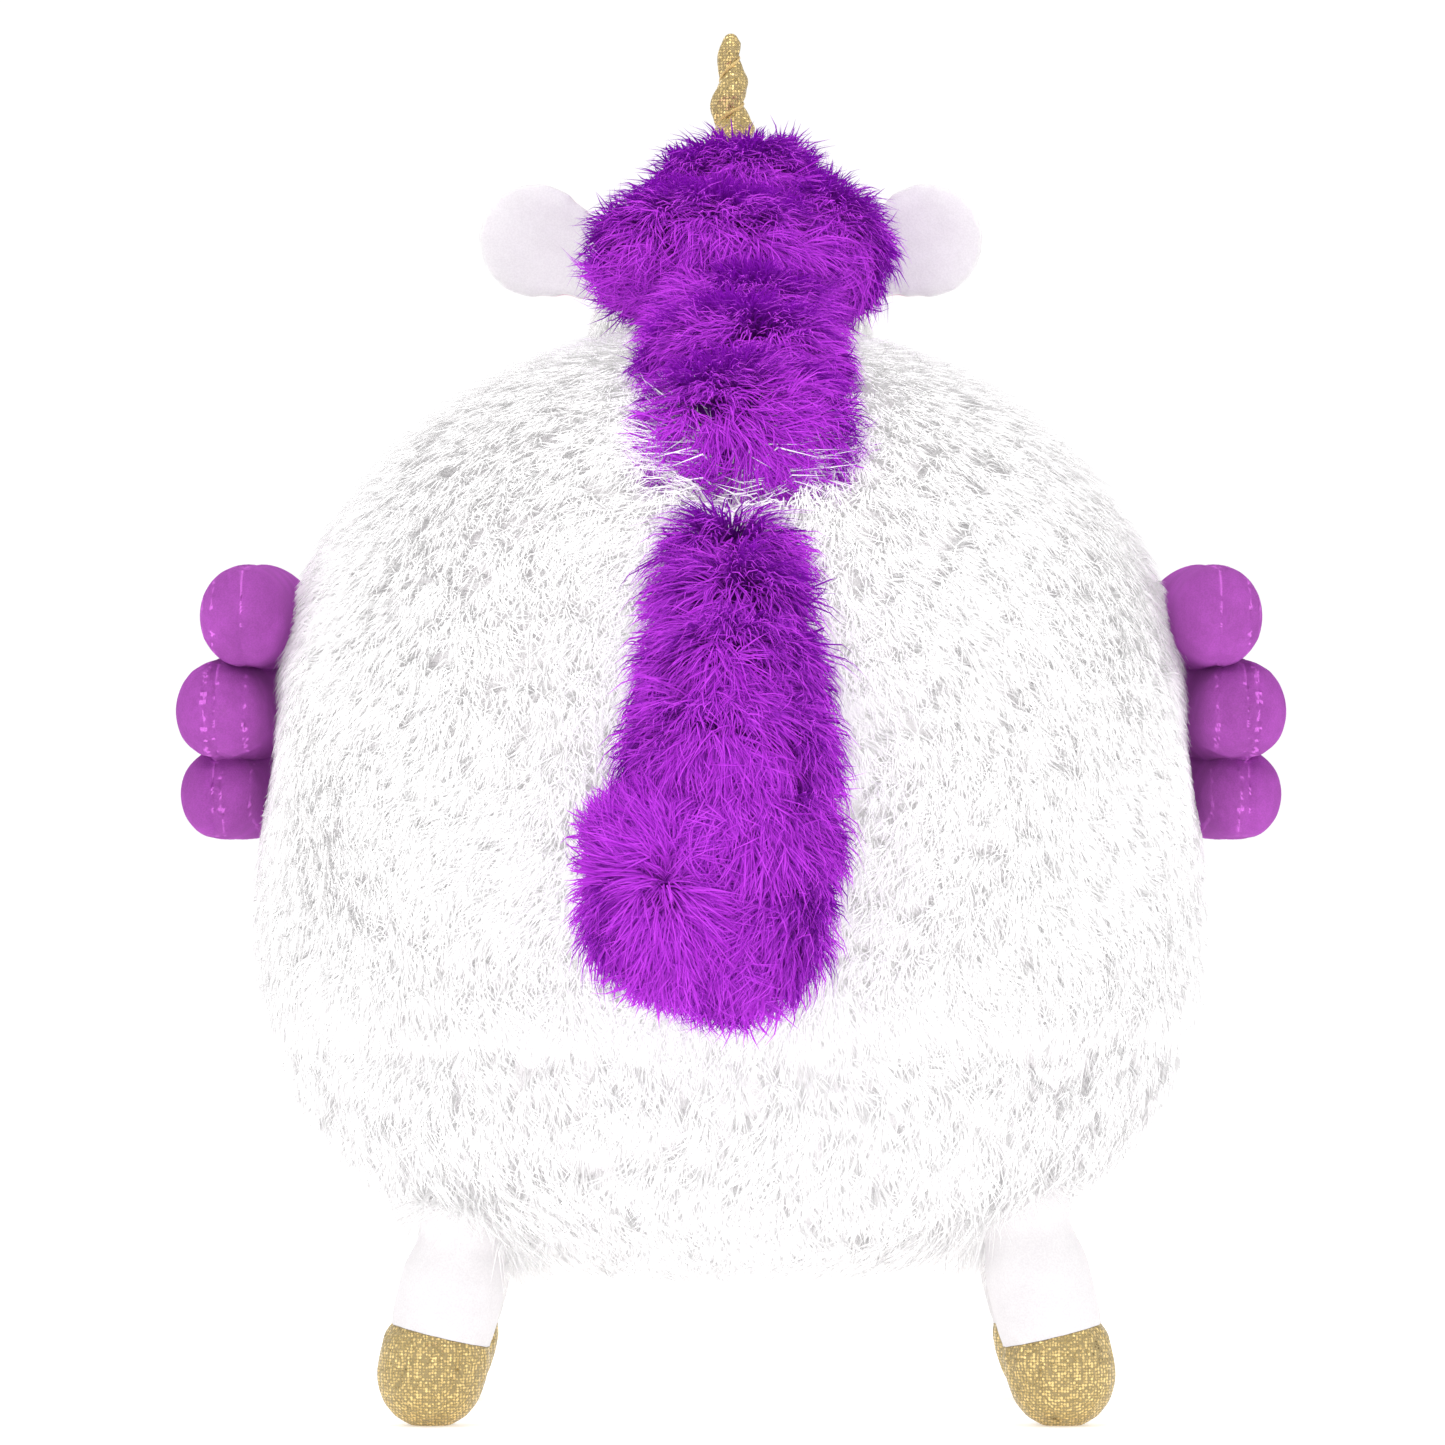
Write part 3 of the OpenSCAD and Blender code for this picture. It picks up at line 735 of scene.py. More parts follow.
def ball_panel(name, node, low, high, start, turn, locks, seed, extra=()):
    s = bpy.context.scene.plush_sizes
    rng = np.random.default_rng(seed)
    steps = 30
    angles = [low + (high - low) * i / steps for i in range(steps + 1)]
    skin = lathe([ball_point(a) for a in angles], max(8, round(turn / 4)), math.radians(turn), math.radians(start))
    facing_out(skin, Vector((0, 0, BALL_MID)))
    for hip in hips():
        press_out(skin, hip, HIP_R + SKIN_GAP)
    press_out(skin, JOINTS["tail_swing"], DOCK_R + SKIN_GAP)
    pile = Pile(s.hair * HAIR_SHARE, 0.0019, 9, 0.4)
    points, normals = scatter(skin, locks // pile.blades, rng)
    keep = np.ones(len(points), bool)
    for hip in hips():
        keep &= np.linalg.norm(points - np.array(hip), axis=1) > HIP_R - 0.001
    keep &= np.linalg.norm(points - np.array(JOINTS["tail_swing"]), axis=1) > DOCK_R + 0.001
    keep &= ~in_head(points, 0.002)
    points, normals = points[keep], normals[keep]
    lie = np.broadcast_to(DOWN, points.shape) + 0.12 * points * np.array((1, 1, 0)) / BALL_R
    top = np.clip((points[:, 2] - 0.39) / 0.03, 0, 1)[:, None]
    lie = lie + top * unit(points * np.array((1, 1, 0)) + 1e-6)
    lie = along_skin(lie, normals)
    lie = turned(lie, normals, sway(points, 1.3) * 0.8 + rng.normal(0, 0.35, len(points)))
    rise = np.full(len(points), s.ball_pile) * rng.uniform(0.86, 1.1, len(points))
    reach = np.full(len(points), s.ball_pile) * rng.uniform(0.8, 1.35, len(points))
    # a fringe hangs over the belly seam, and the pile is longer around the hips
    seam = ball_point(-BELLY_SEAM)[1]
    over = np.exp(-(((points[:, 2] - seam - 0.006) / 0.006) ** 2)) * (points[:, 2] > seam)
    reach *= 1 + 0.6 * over
    under = np.exp(-(((points[:, 2] - seam + 0.006) / 0.007) ** 2)) * (points[:, 2] <= seam)
    rise *= 1 - 0.3 * under
    for hip in hips():
        rim = np.linalg.norm(points - np.array(hip), axis=1) - HIP_R
        hang = np.exp(-((rim / 0.016) ** 2)) * (points[:, 2] > hip.z - 0.006)
        reach *= 1 + 1.3 * hang
        rise *= 1 + 0.55 * hang
    # a tuft stands up at the parting between the mane and the tail
    parting = np.exp(-((points[:, 0] / 0.028) ** 2) - ((points[:, 2] - 0.374) / 0.016) ** 2) * (points[:, 1] > 0)
    rise *= 1 + 1.2 * parting
    reach *= 1 + 1.0 * parting
    away = np.stack([np.sign(points[:, 0]) * 0.8, 0.3 * np.ones(len(points)), 0.9 * np.ones(len(points))], 1)
    lie = np.where(parting[:, None] > 0.35, unit(away + rng.normal(0, 0.35, points.shape)), lie)
    # pressed short under the wings
    near_wing = np.exp(-(((np.abs(points[:, 0]) - 0.181) / 0.012) ** 2) - ((points[:, 2] - 0.283) / 0.055) ** 2)
    near_wing = near_wing * (np.abs(points[:, 1] + 0.01) < 0.085)
    rise *= 1 - 0.72 * near_wing
    grown = [grow_locks(rng, points, normals, lie, pile, rise, reach)]
    bmesh.ops.solidify(skin, geom=skin.faces[:], thickness=BALL_SKIN * 0.9)
    piece = furry(name, skin, grown, "white_plush")
    settle(piece, "ball", "white_plush", node, *extra, fill=0.85)


def puff_form(centre, half_width, radius, tilt=0.0):
    """A barrel lying across the neck."""
    steps = 18
    profile = []
    for t in [-90 + 180 * i / steps for i in range(steps + 1)]:
        across = math.copysign(abs(math.sin(math.radians(t))) ** (2 / 2.4), t)
        profile.append((radius * power(math.cos(math.radians(t)), 2 / 2.4), half_width * across))
    bm = lathe(profile, 28)
    place = Matrix.Translation(centre) @ Matrix.Rotation(math.radians(90 + tilt), 4, "Y")
    bmesh.ops.transform(bm, matrix=place, verts=bm.verts)
    return bm


def puff(name, node, body, centre, half_width, radius, tilt, locks, seed, inside, extra=()):
    s = bpy.context.scene.plush_sizes
    rng = np.random.default_rng(seed)
    skin = puff_form(centre, half_width, radius, tilt)
    pile = fluff(s)
    points, normals = scatter(skin, locks // pile.blades, rng)
    keep = ~inside(points)
    points, normals = points[keep], normals[keep]
    rel = points - np.array(centre)
    # the pile fans out from the middle of the puff and falls over its sides
    lie = unit(rel * np.array((1.0, 0.5, 0.5)) + np.array((0, 0.012, -0.010)))
    lie = along_skin(lie, normals)
    lie = turned(lie, normals, sway(points * 1.6, seed) * 1.3 + rng.normal(0, 0.5, len(points)))
    rise = s.mane_pile * rng.uniform(0.6, 1.05, len(points)) * 0.80
    reach = s.mane_pile * rng.uniform(0.5, 1.25, len(points)) * 0.9
    piece = furry(name, skin, [grow_locks(rng, points, normals, lie, pile, rise, reach)], "purple_plush")
    settle(piece, body, "purple_plush", node, *extra, fill=0.7)


class PLUSH_OT_ball(bpy.types.Operator):
    """The five panels of the ball, with their pile"""

    bl_idname = "plush.ball"
    bl_label = "Ball"

    def execute(self, context):
        locks = context.scene.plush_sizes.panel_locks
        quarters = {"back_panel_left": 0, "back_panel_right": 90, "front_panel_right": 180, "front_panel_left": 270}
        for i, (name, start) in enumerate(quarters.items()):
            extra = ("ball_stuffing",) if i == 0 else ()
            share = locks if start < 180 else locks * 3 // 4
            ball_panel(f"plush_{name}", name, -BELLY_SEAM, 90, start, 90, share, 11 + i, extra)
        ball_panel("plush_belly_panel", "belly_panel", -90, -BELLY_SEAM, 0, 360, locks, 17)
        return {"FINISHED"}


class PLUSH_OT_mane(bpy.types.Operator):
    """The puffs of the mane, four on the head and three on the ball"""

    bl_idname = "plush.mane"
    bl_label = "Mane"

    def execute(self, context):
        locks = context.scene.plush_sizes.puff_locks
        for i, (name, (offset, half_width, radius, tilt)) in enumerate(HEAD_PUFFS.items()):
            node = f"mane_{name}" + ("" if name == "forelock" else "_puff")
            centre = HEAD_AT + Vector(offset)
            extra = ("mane_head_stuffing",) if name == "crown" else ()
            share = locks * 2 // 3 if name in ("poll", "forelock") else locks
            form = (centre, half_width, radius, tilt, share, 31 + i)
            puff(f"fluff_{node}", node, "head", *form, lambda p: in_head(p, -0.002), extra)
        for i, (name, (centre, half_width, radius)) in enumerate(BACK_PUFFS.items()):
            node = f"mane_{name}_puff"
            extra = ("mane_back_stuffing",) if name == "back" else ()
            form = (Vector(centre), half_width, radius, 0, locks, 41 + i)
            puff(f"fluff_{node}", node, "ball", *form, lambda p: in_ball(p, -0.002), extra)
        return {"FINISHED"}


class PLUSH_OT_tail(bpy.types.Operator):
    """The tail's root, its long stuffed part and its curled-up end"""

    bl_idname = "plush.tail"
    bl_label = "Tail"

    def execute(self, context):
        s = context.scene.plush_sizes
        pile = fluff(s)

        def clothe(name, skin, body, locks, seed, nodes, fill, curl=None):
            rng = np.random.default_rng(seed)
            points, normals = scatter(skin, locks // pile.blades, rng)
            keep = ~in_ball(points, 0.003)
            points, normals = points[keep], normals[keep]
            lie = unit(np.array((0, 0.05, -1.0)) + points * np.array((9.0, 0, 0)))
            if curl is not None:
                lie = unit((points - np.array(curl)) * np.array((1.0, 0.3, 1.0)) + 1e-6)
            lie = along_skin(lie, normals)
            lie = turned(lie, normals, sway(points * 1.6, seed) * 1.2 + rng.normal(0, 0.45, len(points)))
            rise = s.tail_pile * rng.uniform(0.6, 1.05, len(points)) * np.where(normals[:, 1] > 0.6, 0.64, 1.0)
            rise *= np.where(normals[:, 1] < -0.25, 0.35, 1.0)
            reach = s.tail_pile * rng.uniform(0.6, 1.3, len(points))
            piece = furry(name, skin, [grow_locks(rng, points, normals, lie, pile, rise, reach)], "purple_plush")
            settle(piece, body, "purple_plush", *nodes, fill=fill)

        dock = JOINTS["tail_swing"]
        clothe("fluff_tail_dock", blobs([(dock, DOCK_R - 0.0002)]), "tail_dock", 6000, 51, ["tail_dock"], 0.6)
        body = stuff(blobs([(Vector(c), r * 1.03) for c, r in TAIL_SWELLS]), 0.004, 0.002)
        press_out(body, dock, DOCK_R + SKIN_GAP)
        clothe("fluff_tail", body, "tail", 34000, 52, ["tail_cover", "tail_stuffing"], 0.7)
        curl = stuff(blobs([((0.0225, 0.236, 0.206), 0.019), ((0.026, 0.232, 0.226), 0.0165)]), 0.004, 0.002)
        spot = Vector((0.024, 0.250, 0.216))
        clothe("fluff_tail_curl", curl, "tail", 15000, 53, ["tail_curl"], 0.7, curl=spot)
        return {"FINISHED"}


class PLUSH_OT_head(bpy.types.Operator):
    """The two halves of the head, with the eyes and the stitching of the muzzle"""

    bl_idname = "plush.head"
    bl_label = "Head"

    def execute(self, context):
        s = context.scene.plush_sizes
        steps = 34
        turn_in = Matrix.Translation(HEAD_AT) @ Matrix.Rotation(math.radians(90) + HEAD_SLOPE, 4, "X")
        for side, sign in SIDES.items():
            rng = np.random.default_rng(61 if sign > 0 else 62)
            profile = []
            for i in range(steps + 1):
                t = -math.pi / 2 + math.pi * i / steps
                u = math.copysign(abs(math.sin(t)) ** (2 / EXP_UP), t)
                reach = HEAD_BACK if t < 0 else HEAD_FRONT
                profile.append((HEAD_R * power(math.cos(t), 2 / EXP_UP) * (1 - HEAD_TAPER * u), HEAD_MID + u * reach))
            skin = lathe(profile, 26, math.pi, -math.pi / 2 if sign > 0 else math.pi / 2)
            bmesh.ops.transform(skin, matrix=turn_in, verts=skin.verts)
            facing_out(skin, HEAD_AT + HEAD_AXIS * HEAD_MID)
            # hollow cheeks below the eyes and a soft step to the muzzle
            for v in skin.verts:
                along = (v.co - HEAD_AT).dot(HEAD_AXIS)
                axis = HEAD_AT + HEAD_AXIS * along
                dip = 0.0022 * math.exp(-(((along - 0.140) / 0.018) ** 2))
                v.co = axis + (v.co - axis) * (1 - dip / max(head_radius(min(along, 0.205)), 0.01))
            # what would be inside the ball is pushed out to just above its skin
            middle = Vector((0, 0, BALL_MID))
            for v, buried in zip(skin.verts, in_ball(np.array([v.co[:] for v in skin.verts]))):
                if buried:
                    out = v.co - middle
                    reach = out.length
                    while in_ball(np.array([v.co[:]]), SKIN_GAP)[0] and reach < PUSH_LIMIT:
                        reach += PUSH_STEP
                        v.co = middle + out.normalized() * reach
            press_out(skin, JOINTS["horn_tilt"], HORN_BASE_R + 0.0015)
            pile = Pile(s.hair * HAIR_SHARE, 0.0018, 10, 0.45)
            points, normals = scatter(skin, 46000 // pile.blades, rng)
            keep = ~in_ball(points, 0.0015)
            keep &= np.linalg.norm(points - np.array(JOINTS["horn_tilt"]), axis=1) > HORN_BASE_R + 0.003
            eye = np.array(head_point(EYE_ALONG, EYE_ANGLE, head_radius(EYE_ALONG)) * 1.0)
            eye[0] *= sign
            keep &= np.linalg.norm(points - eye, axis=1) > EYE_R + 0.0022
            points, normals = points[keep], normals[keep]
            along, x, y = head_frame(points)
            short = np.clip((along - 0.03) / 0.12, 0, 1)
            height = s.ball_pile * 0.8 * (1 - short) + s.face_pile * short
            around = np.linalg.norm(points - eye, axis=1)
            height *= np.clip((around - EYE_R) / 0.012, 0.35, 1)
            lie = -np.array(HEAD_AXIS) * 0.9 + np.array((0, 0, -0.6)) + np.zeros_like(points)
            lie = along_skin(lie, normals)
            lie = turned(lie, normals, sway(points, 2.1) * 0.5 + rng.normal(0, 0.3, len(points)))
            grown = [grow_locks(rng, points, normals, lie, pile, height, height * 1.15)]
            bmesh.ops.solidify(skin, geom=skin.faces[:], thickness=0.0026)
            piece = furry(f"plush_head_{side}", skin, grown, "white_plush")
            extra = ("head_stuffing",) if sign > 0 else ()
            settle(piece, "head", "white_plush", f"head_skin_{side}", *extra, fill=0.85)
            self.eye(side, sign)
        self.stitches()
        nodes = frame["nodes"]
        nodes["eye_washers"].data.materials.clear()
        nodes["eye_washers"].data.materials.append(finishes()["washer_plastic"])
        return {"FINISHED"}

    def eye(self, side, sign):
        """A domed button with a rolled rim on a stem."""
        at = head_point(EYE_ALONG, EYE_ANGLE, head_radius(EYE_ALONG) - 0.001)
        out = (head_point(EYE_ALONG, EYE_ANGLE, 1.0) - head_point(EYE_ALONG, EYE_ANGLE, 0.0)).normalized()
        dome = [(EYE_R * math.cos(math.radians(a)), 0.0078 * math.sin(math.radians(a))) for a in range(90, -1, -6)]
        profile = [(max(r, 0.0), z) for r, z in dome]
        profile += [(EYE_R * 0.97, -0.0012), (EYE_R * 0.6, -0.0022), (0.0025, -0.0026), (0.0025, -0.012), (0.0, -0.012)]
        bm = lathe(profile, 32)
        place = Matrix.Translation(at) @ out.to_track_quat("Z", "Y").to_matrix().to_4x4()
        bmesh.ops.transform(bm, matrix=place, verts=bm.verts)
        if sign < 0:
            bmesh.ops.scale(bm, vec=(-1, 1, 1), verts=bm.verts)
        bmesh.ops.recalc_face_normals(bm, faces=bm.faces)
        settle(make(f"button_eye_{side}", bm, "eye_plastic"), "head", "eye_plastic", f"eye_{side}")

    def stitches(self):
        """Satin stitches for the nostrils, and a row of stitches for the mouth."""
        places = [HEAD_MID + HEAD_FRONT * i / 400 for i in range(200, 401)]
        rs, places = np.array([head_radius(place) for place in places])[::-1], np.array(places)[::-1]

        def on_muzzle(x, y, proud=0.0012):
            along = float(np.interp(math.hypot(x, y), rs, places)) + proud
            return HEAD_AT + HEAD_AXIS * along + Vector((x, 0, 0)) + HEAD_UP * y

        def thread(bm, a, b, radius=0.0006):
            way = b - a
            turn = way.to_track_quat("Z", "Y").to_matrix().to_4x4()
            half = way.length / 2
            profile = [(0.0, -half), (radius * 0.8, -half * 0.8), (radius, -half * 0.3)]
            profile += [(radius, half * 0.3), (radius * 0.8, half * 0.8), (0.0, half)]
            one = lathe(profile, 6)
            bmesh.ops.transform(one, matrix=Matrix.Translation((a + b) / 2) @ turn, verts=one.verts)
            pour(one, bm)

        nostrils = bmesh.new()
        for sign in (1, -1):
            for i in range(9):
                x = 0.015 * sign + (i - 4) * 0.0009
                tall = 0.0034 * math.sqrt(1 - ((i - 4) / 5) ** 2)
                thread(nostrils, on_muzzle(x, 0.010 - tall), on_muzzle(x, 0.010 + tall))
        piece = make("stitched_nostrils", nostrils, "pink_thread")
        settle(piece, "head", "pink_thread", "nostril_stitches")
        mouth = bmesh.new()
        angles = [math.radians(-150 + 120 * i / 10) for i in range(11)]
        spots = [on_muzzle(0.0162 * math.cos(a), 0.0162 * math.sin(a), 0.0013) for a in angles]
        for a, b in zip(spots, spots[1:]):
            thread(mouth, a, b, 0.0008)
        settle(make("stitched_mouth", mouth, "pink_thread"), "head", "pink_thread", "mouth_stitch")


class PLUSH_OT_ears(bpy.types.Operator):
    """The ears: a white back and a pink lining, sewn together and folded at the root"""

    bl_idname = "plush.ears"
    bl_label = "Ears"

    def execute(self, context):
        corner = Vector((-EAR_REACH, EAR_ROOT_W / 2))
        turn = math.atan2(corner[1], corner[0]) - math.acos(EAR_R / corner.length)
        outline = [(0.0, -EAR_ROOT_W / 2)]
        outline += [(EAR_REACH + EAR_R * math.cos(turn * i / 14), EAR_R * math.sin(turn * i / 14)) for i in range(-14, 15)]
        outline += [(0.0, EAR_ROOT_W / 2)]
        for side, sign in SIDES.items():
            form = bmesh.new()
            verts = [form.verts.new((x * 0.985, -EAR_T * 0.36, z * 0.985)) for x, z in outline]
            face = form.faces.new(verts)
            lifted = bmesh.ops.extrude_face_region(form, geom=[face])
            raised = [g for g in lifted["geom"] if isinstance(g, bmesh.types.BMVert)]
            bmesh.ops.translate(form, vec=(0, EAR_T * 0.72, 0), verts=raised)
            bmesh.ops.recalc_face_normals(form, faces=form.faces)
            pad = stuff(form, 0.0028, 0.0016, pressure=3.0)
            for v in pad.verts:
                far = v.co.x / (EAR_REACH + EAR_R)
                edge = 1 - min(1.0, math.hypot((v.co.x - EAR_REACH) / (EAR_R * 1.6), v.co.z / EAR_R)) ** 2
                v.co.y += 0.006 * far * far - 0.0035 * max(0.0, edge) * (1 if v.co.y > 0 else 0.6)
                # soft gathers run out from the root
                v.co.y += 0.0011 * math.exp(-far * 3.2) * math.sin(v.co.z / 0.0019)
                v.co.y *= 1 - 0.35 * min(1.0, max(0.0, (abs(v.co.z) / EAR_R - 0.75) * 3))
            for node, material, normal in (("back", "white_minky", (0, -1, 0)), ("lining", "pink_minky", (0, 1, 0))):
                # the seam between the two layers follows the ear's bend
                half = cut(pad, (0, 0.0012, 0), normal)
                place = Matrix.Translation(JOINTS["ear_left_fold"]) @ Matrix.Rotation(-EAR_LIFT, 4, "Y")
                bmesh.ops.transform(half, matrix=place, verts=half.verts)
                if sign < 0:
                    bmesh.ops.scale(half, vec=(-1, 1, 1), verts=half.verts)
                    bmesh.ops.recalc_face_normals(half, faces=half.faces)
                piece = make(f"sewn_ear_{side}_{node}", half, material)
                settle(piece, f"ear_{side}", material, f"ear_{side}_{node}", fill=0.3)
            pad.free()
        return {"FINISHED"}


class PLUSH_OT_horn(bpy.types.Operator):
    """The foil horn, bound by a thread that winds up it"""

    bl_idname = "plush.horn"
    bl_label = "Horn"

    def radius(self, d, angle=0.0):
        """Radius at a distance from the tip, where the thread pulls in a winding groove."""
        pitch = HORN_LEN / HORN_SWELLS
        wave = math.cos(2 * math.pi * d / pitch + angle + math.pi)
        swell = 0.20 * wave - 0.12 * max(0.0, -wave) ** 6
        return (HORN_TIP_R + (HORN_BASE_R - HORN_TIP_R) * (d / HORN_LEN) ** 0.9) * (1 + swell)

    def execute(self, context):
        base = JOINTS["horn_tilt"]
        place = Matrix.Translation(base) @ Matrix.Rotation(HORN_LEAN, 4, "X")
        steps = 90
        profile = [(0.0, HORN_LEN)]
        for a in (25, 50, 75):
            drop = 1 - math.cos(math.radians(a))
            profile.append((HORN_TIP_R * math.sin(math.radians(a)), HORN_LEN - HORN_TIP_R * drop))
        for i in range(1, steps + 1):
            profile.append((HORN_TIP_R, HORN_LEN - HORN_TIP_R - (HORN_LEN - HORN_TIP_R) * i / steps))
        profile += [(0.0124 * math.cos(math.radians(a)), -0.0124 * math.sin(math.radians(a))) for a in range(10, 81, 10)]
        profile.append((0.0, -0.0126))
        bm = lathe(profile, 40)
        for v in bm.verts:
            d = HORN_LEN - v.co.z
            r = math.hypot(v.co.x, v.co.y)
            if 0.0035 < d <= HORN_LEN + 1e-6 and r > 1e-5:
                angle = math.atan2(v.co.y, v.co.x)
                want = self.radius(d, angle) + 0.0003 * math.sin(7 * angle + d * 900) * math.exp(-abs(d - 0.04) / 0.04)
                v.co.x *= want / r
                v.co.y *= want / r
        bmesh.ops.recalc_face_normals(bm, faces=bm.faces)
        bmesh.ops.transform(bm, matrix=place, verts=bm.verts)
        settle(make("foil_horn", bm, "gold_foil"), "horn", "gold_foil", "horn_cover", "horn_stuffing", fill=0.9)
        pitch = HORN_LEN / HORN_SWELLS
        rounds = 3.35
        count = 150
        cord = bmesh.new()
        ring = None
        for i in range(count + 1):
            share = i / count
            d = 0.006 + share * (rounds * pitch)
            angle = -2 * math.pi * d / pitch
            r = self.radius(d, angle) + 0.0001
            centre = Vector((r * math.cos(angle), r * math.sin(angle), HORN_LEN - d))
            out = Vector((math.cos(angle), math.sin(angle), 0))
            thick = 0.00075 * min(1.0, 12 * share, 12 * (1 - share)) + 0.0001
            fresh = []
            for b in [k * math.pi / 3 for k in range(6)]:
                fresh.append(cord.verts.new(centre + out * thick * math.cos(b) + Vector((0, 0, thick * math.sin(b)))))
            if ring:
                for k in range(6):
                    cord.faces.new((ring[k], ring[(k + 1) % 6], fresh[(k + 1) % 6], fresh[k]))
            else:
                cord.faces.new(fresh)
            ring = fresh
        cord.faces.new(ring)
        bmesh.ops.recalc_face_normals(cord, faces=cord.faces)
        bmesh.ops.transform(cord, matrix=place, verts=cord.verts)
        settle(make("wound_horn_thread", cord, "gold_thread"), "horn", "gold_thread", "horn_thread")
        return {"FINISHED"}


class PLUSH_OT_wings(bpy.types.Operator):
    """The wings: three stuffed feathers in two panels, on a sewn roll"""

    bl_idname = "plush.wings"
    bl_label = "Wings"

    def execute(self, context):
        spots = []
        form = bmesh.new()
        for r, z, end in zip(FEATHER_R, FEATHER_Z, FEATHER_END):
            at = skin_radius(z - r / 2) + 0.002 + r
            half = at * math.tan(math.radians((WING_ROOT + end) / 2))
            turn = Matrix.Rotation(math.radians((end - WING_ROOT) / 2), 4, "Z")
            place = turn @ Matrix.Translation((at, -half, BALL_MID + z)) @ Matrix.Rotation(-math.pi / 2, 4, "X")
            spots.append((place, r, half * 2))
            small = r - 0.0022
            profile = [(0.0, 0.001), (small * 0.75, 0.001), (small * 0.93, 0.004)]
            for i in range(7):
                profile.append((small * (1 + 0.035 * math.sin(math.pi * i / 6)), 0.006 + (2 * half - 0.006) * i / 6))
            for a in [math.radians(degrees) for degrees in range(15, 90, 15)]:
                profile.append((small * math.cos(a), 2 * half + small * 0.95 * math.sin(a)))
            profile.append((0.0, 2 * half + small * 0.95))
            one = lathe(profile, 28)
            bmesh.ops.transform(one, matrix=place, verts=one.verts)
            pour(one, form)
        stuffed = stuff(form, 0.0030, 0.0012)
        # the seam between the two panels is pulled in, with small puckers beside it
        for v in stuffed.verts:
            place, r, length = min(spots, key=lambda s: abs((s[0].inverted() @ v.co).y))
            local = place.inverted() @ v.co
            near = abs(local.x)
            if near < 0.006:
                depth = 0.0012 * (1 - near / 0.006) ** 2
                pucker = 0.0003 * math.sin((local.z + abs(local.y)) / 0.00095) * (1 - near / 0.006)
                out = Vector((0, local.y, max(0.0, local.z - length)))
                if out.length > 1e-6:
                    local -= out.normalized() * (depth - pucker)
            # the feathers are crowded against each other, and taller than they are wide
            plump = 1.0 + 0.10 * math.sin(math.pi * min(1.0, max(0.0, local.z / (length + r))))
            local.y *= 1.19 * plump
            local.x *= 1.04 * plump
            v.co = place @ local
        whole = bpy.data.meshes.new("feathers")
        stuffed.to_mesh(whole)
        stuffed.free()
        for side, sign in SIDES.items():
            for part, face in (("outer", -1), ("inner", 1)):
                piece = bmesh.new()
                for place, r, length in spots:
                    one = bmesh.new()
                    one.from_mesh(whole)
                    loose = self.island(one, place, r, length)
                    bmesh.ops.delete(one, geom=[v for v in one.verts if v not in loose], context="VERTS")
                    normal = (place.to_3x3() @ Vector((face, 0, 0))).normalized()
                    half = cut(one, place.translation, normal)
                    one.free()
                    pour(half, piece)
                if sign < 0:
                    bmesh.ops.scale(piece, vec=(-1, 1, 1), verts=piece.verts)
                bmesh.ops.recalc_face_normals(piece, faces=piece.faces)
                extra = (f"wing_{side}_stuffing",) if part == "outer" else ()
                made = make(f"stuffed_wing_{side}_{part}", piece, "mauve_minky")
                settle(made, f"wing_{side}", "mauve_minky", f"wing_{side}_{part}", *extra, fill=0.85)
            self.roll(side, sign)
        return {"FINISHED"}

    def island(self, bm, place, r, length):
        """The points of the feather at a place."""
        back = place.inverted()
        seed = min(bm.verts, key=lambda v: (back @ v.co - Vector((0, 0, length / 2))).length)
        found, edge = {seed}, [seed]
        while edge:
            v = edge.pop()
            for e in v.link_edges:
                other = e.other_vert(v)
                if other not in found:
                    found.add(other)
                    edge.append(other)
        return found

    def roll(self, side, sign):
        low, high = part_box(f"wing_{side}_roll")
        joint = JOINTS[f"wing_{side}_flap"]
        r, bottom, top = 0.0064, low[2], high[2]
        profile = [(0.0, 0.0), (r * 0.7, 0.0012), (r, 0.005)]
        span = top - bottom
        profile += [(r * (1 + 0.06 * math.sin(i * 2.4)), 0.005 + (span - 0.01) * i / 14) for i in range(1, 14)]
        profile += [(r, span - 0.005), (r * 0.7, span - 0.0012), (0.0, span)]
        bm = lathe(profile, 20)
        bmesh.ops.transform(bm, matrix=Matrix.Translation((joint.x, joint.y, bottom)), verts=bm.verts)
        made = make(f"sewn_wing_{side}_roll", bm, "mauve_minky")
        settle(made, f"wing_{side}", "mauve_minky", f"wing_{side}_roll", fill=0.6)


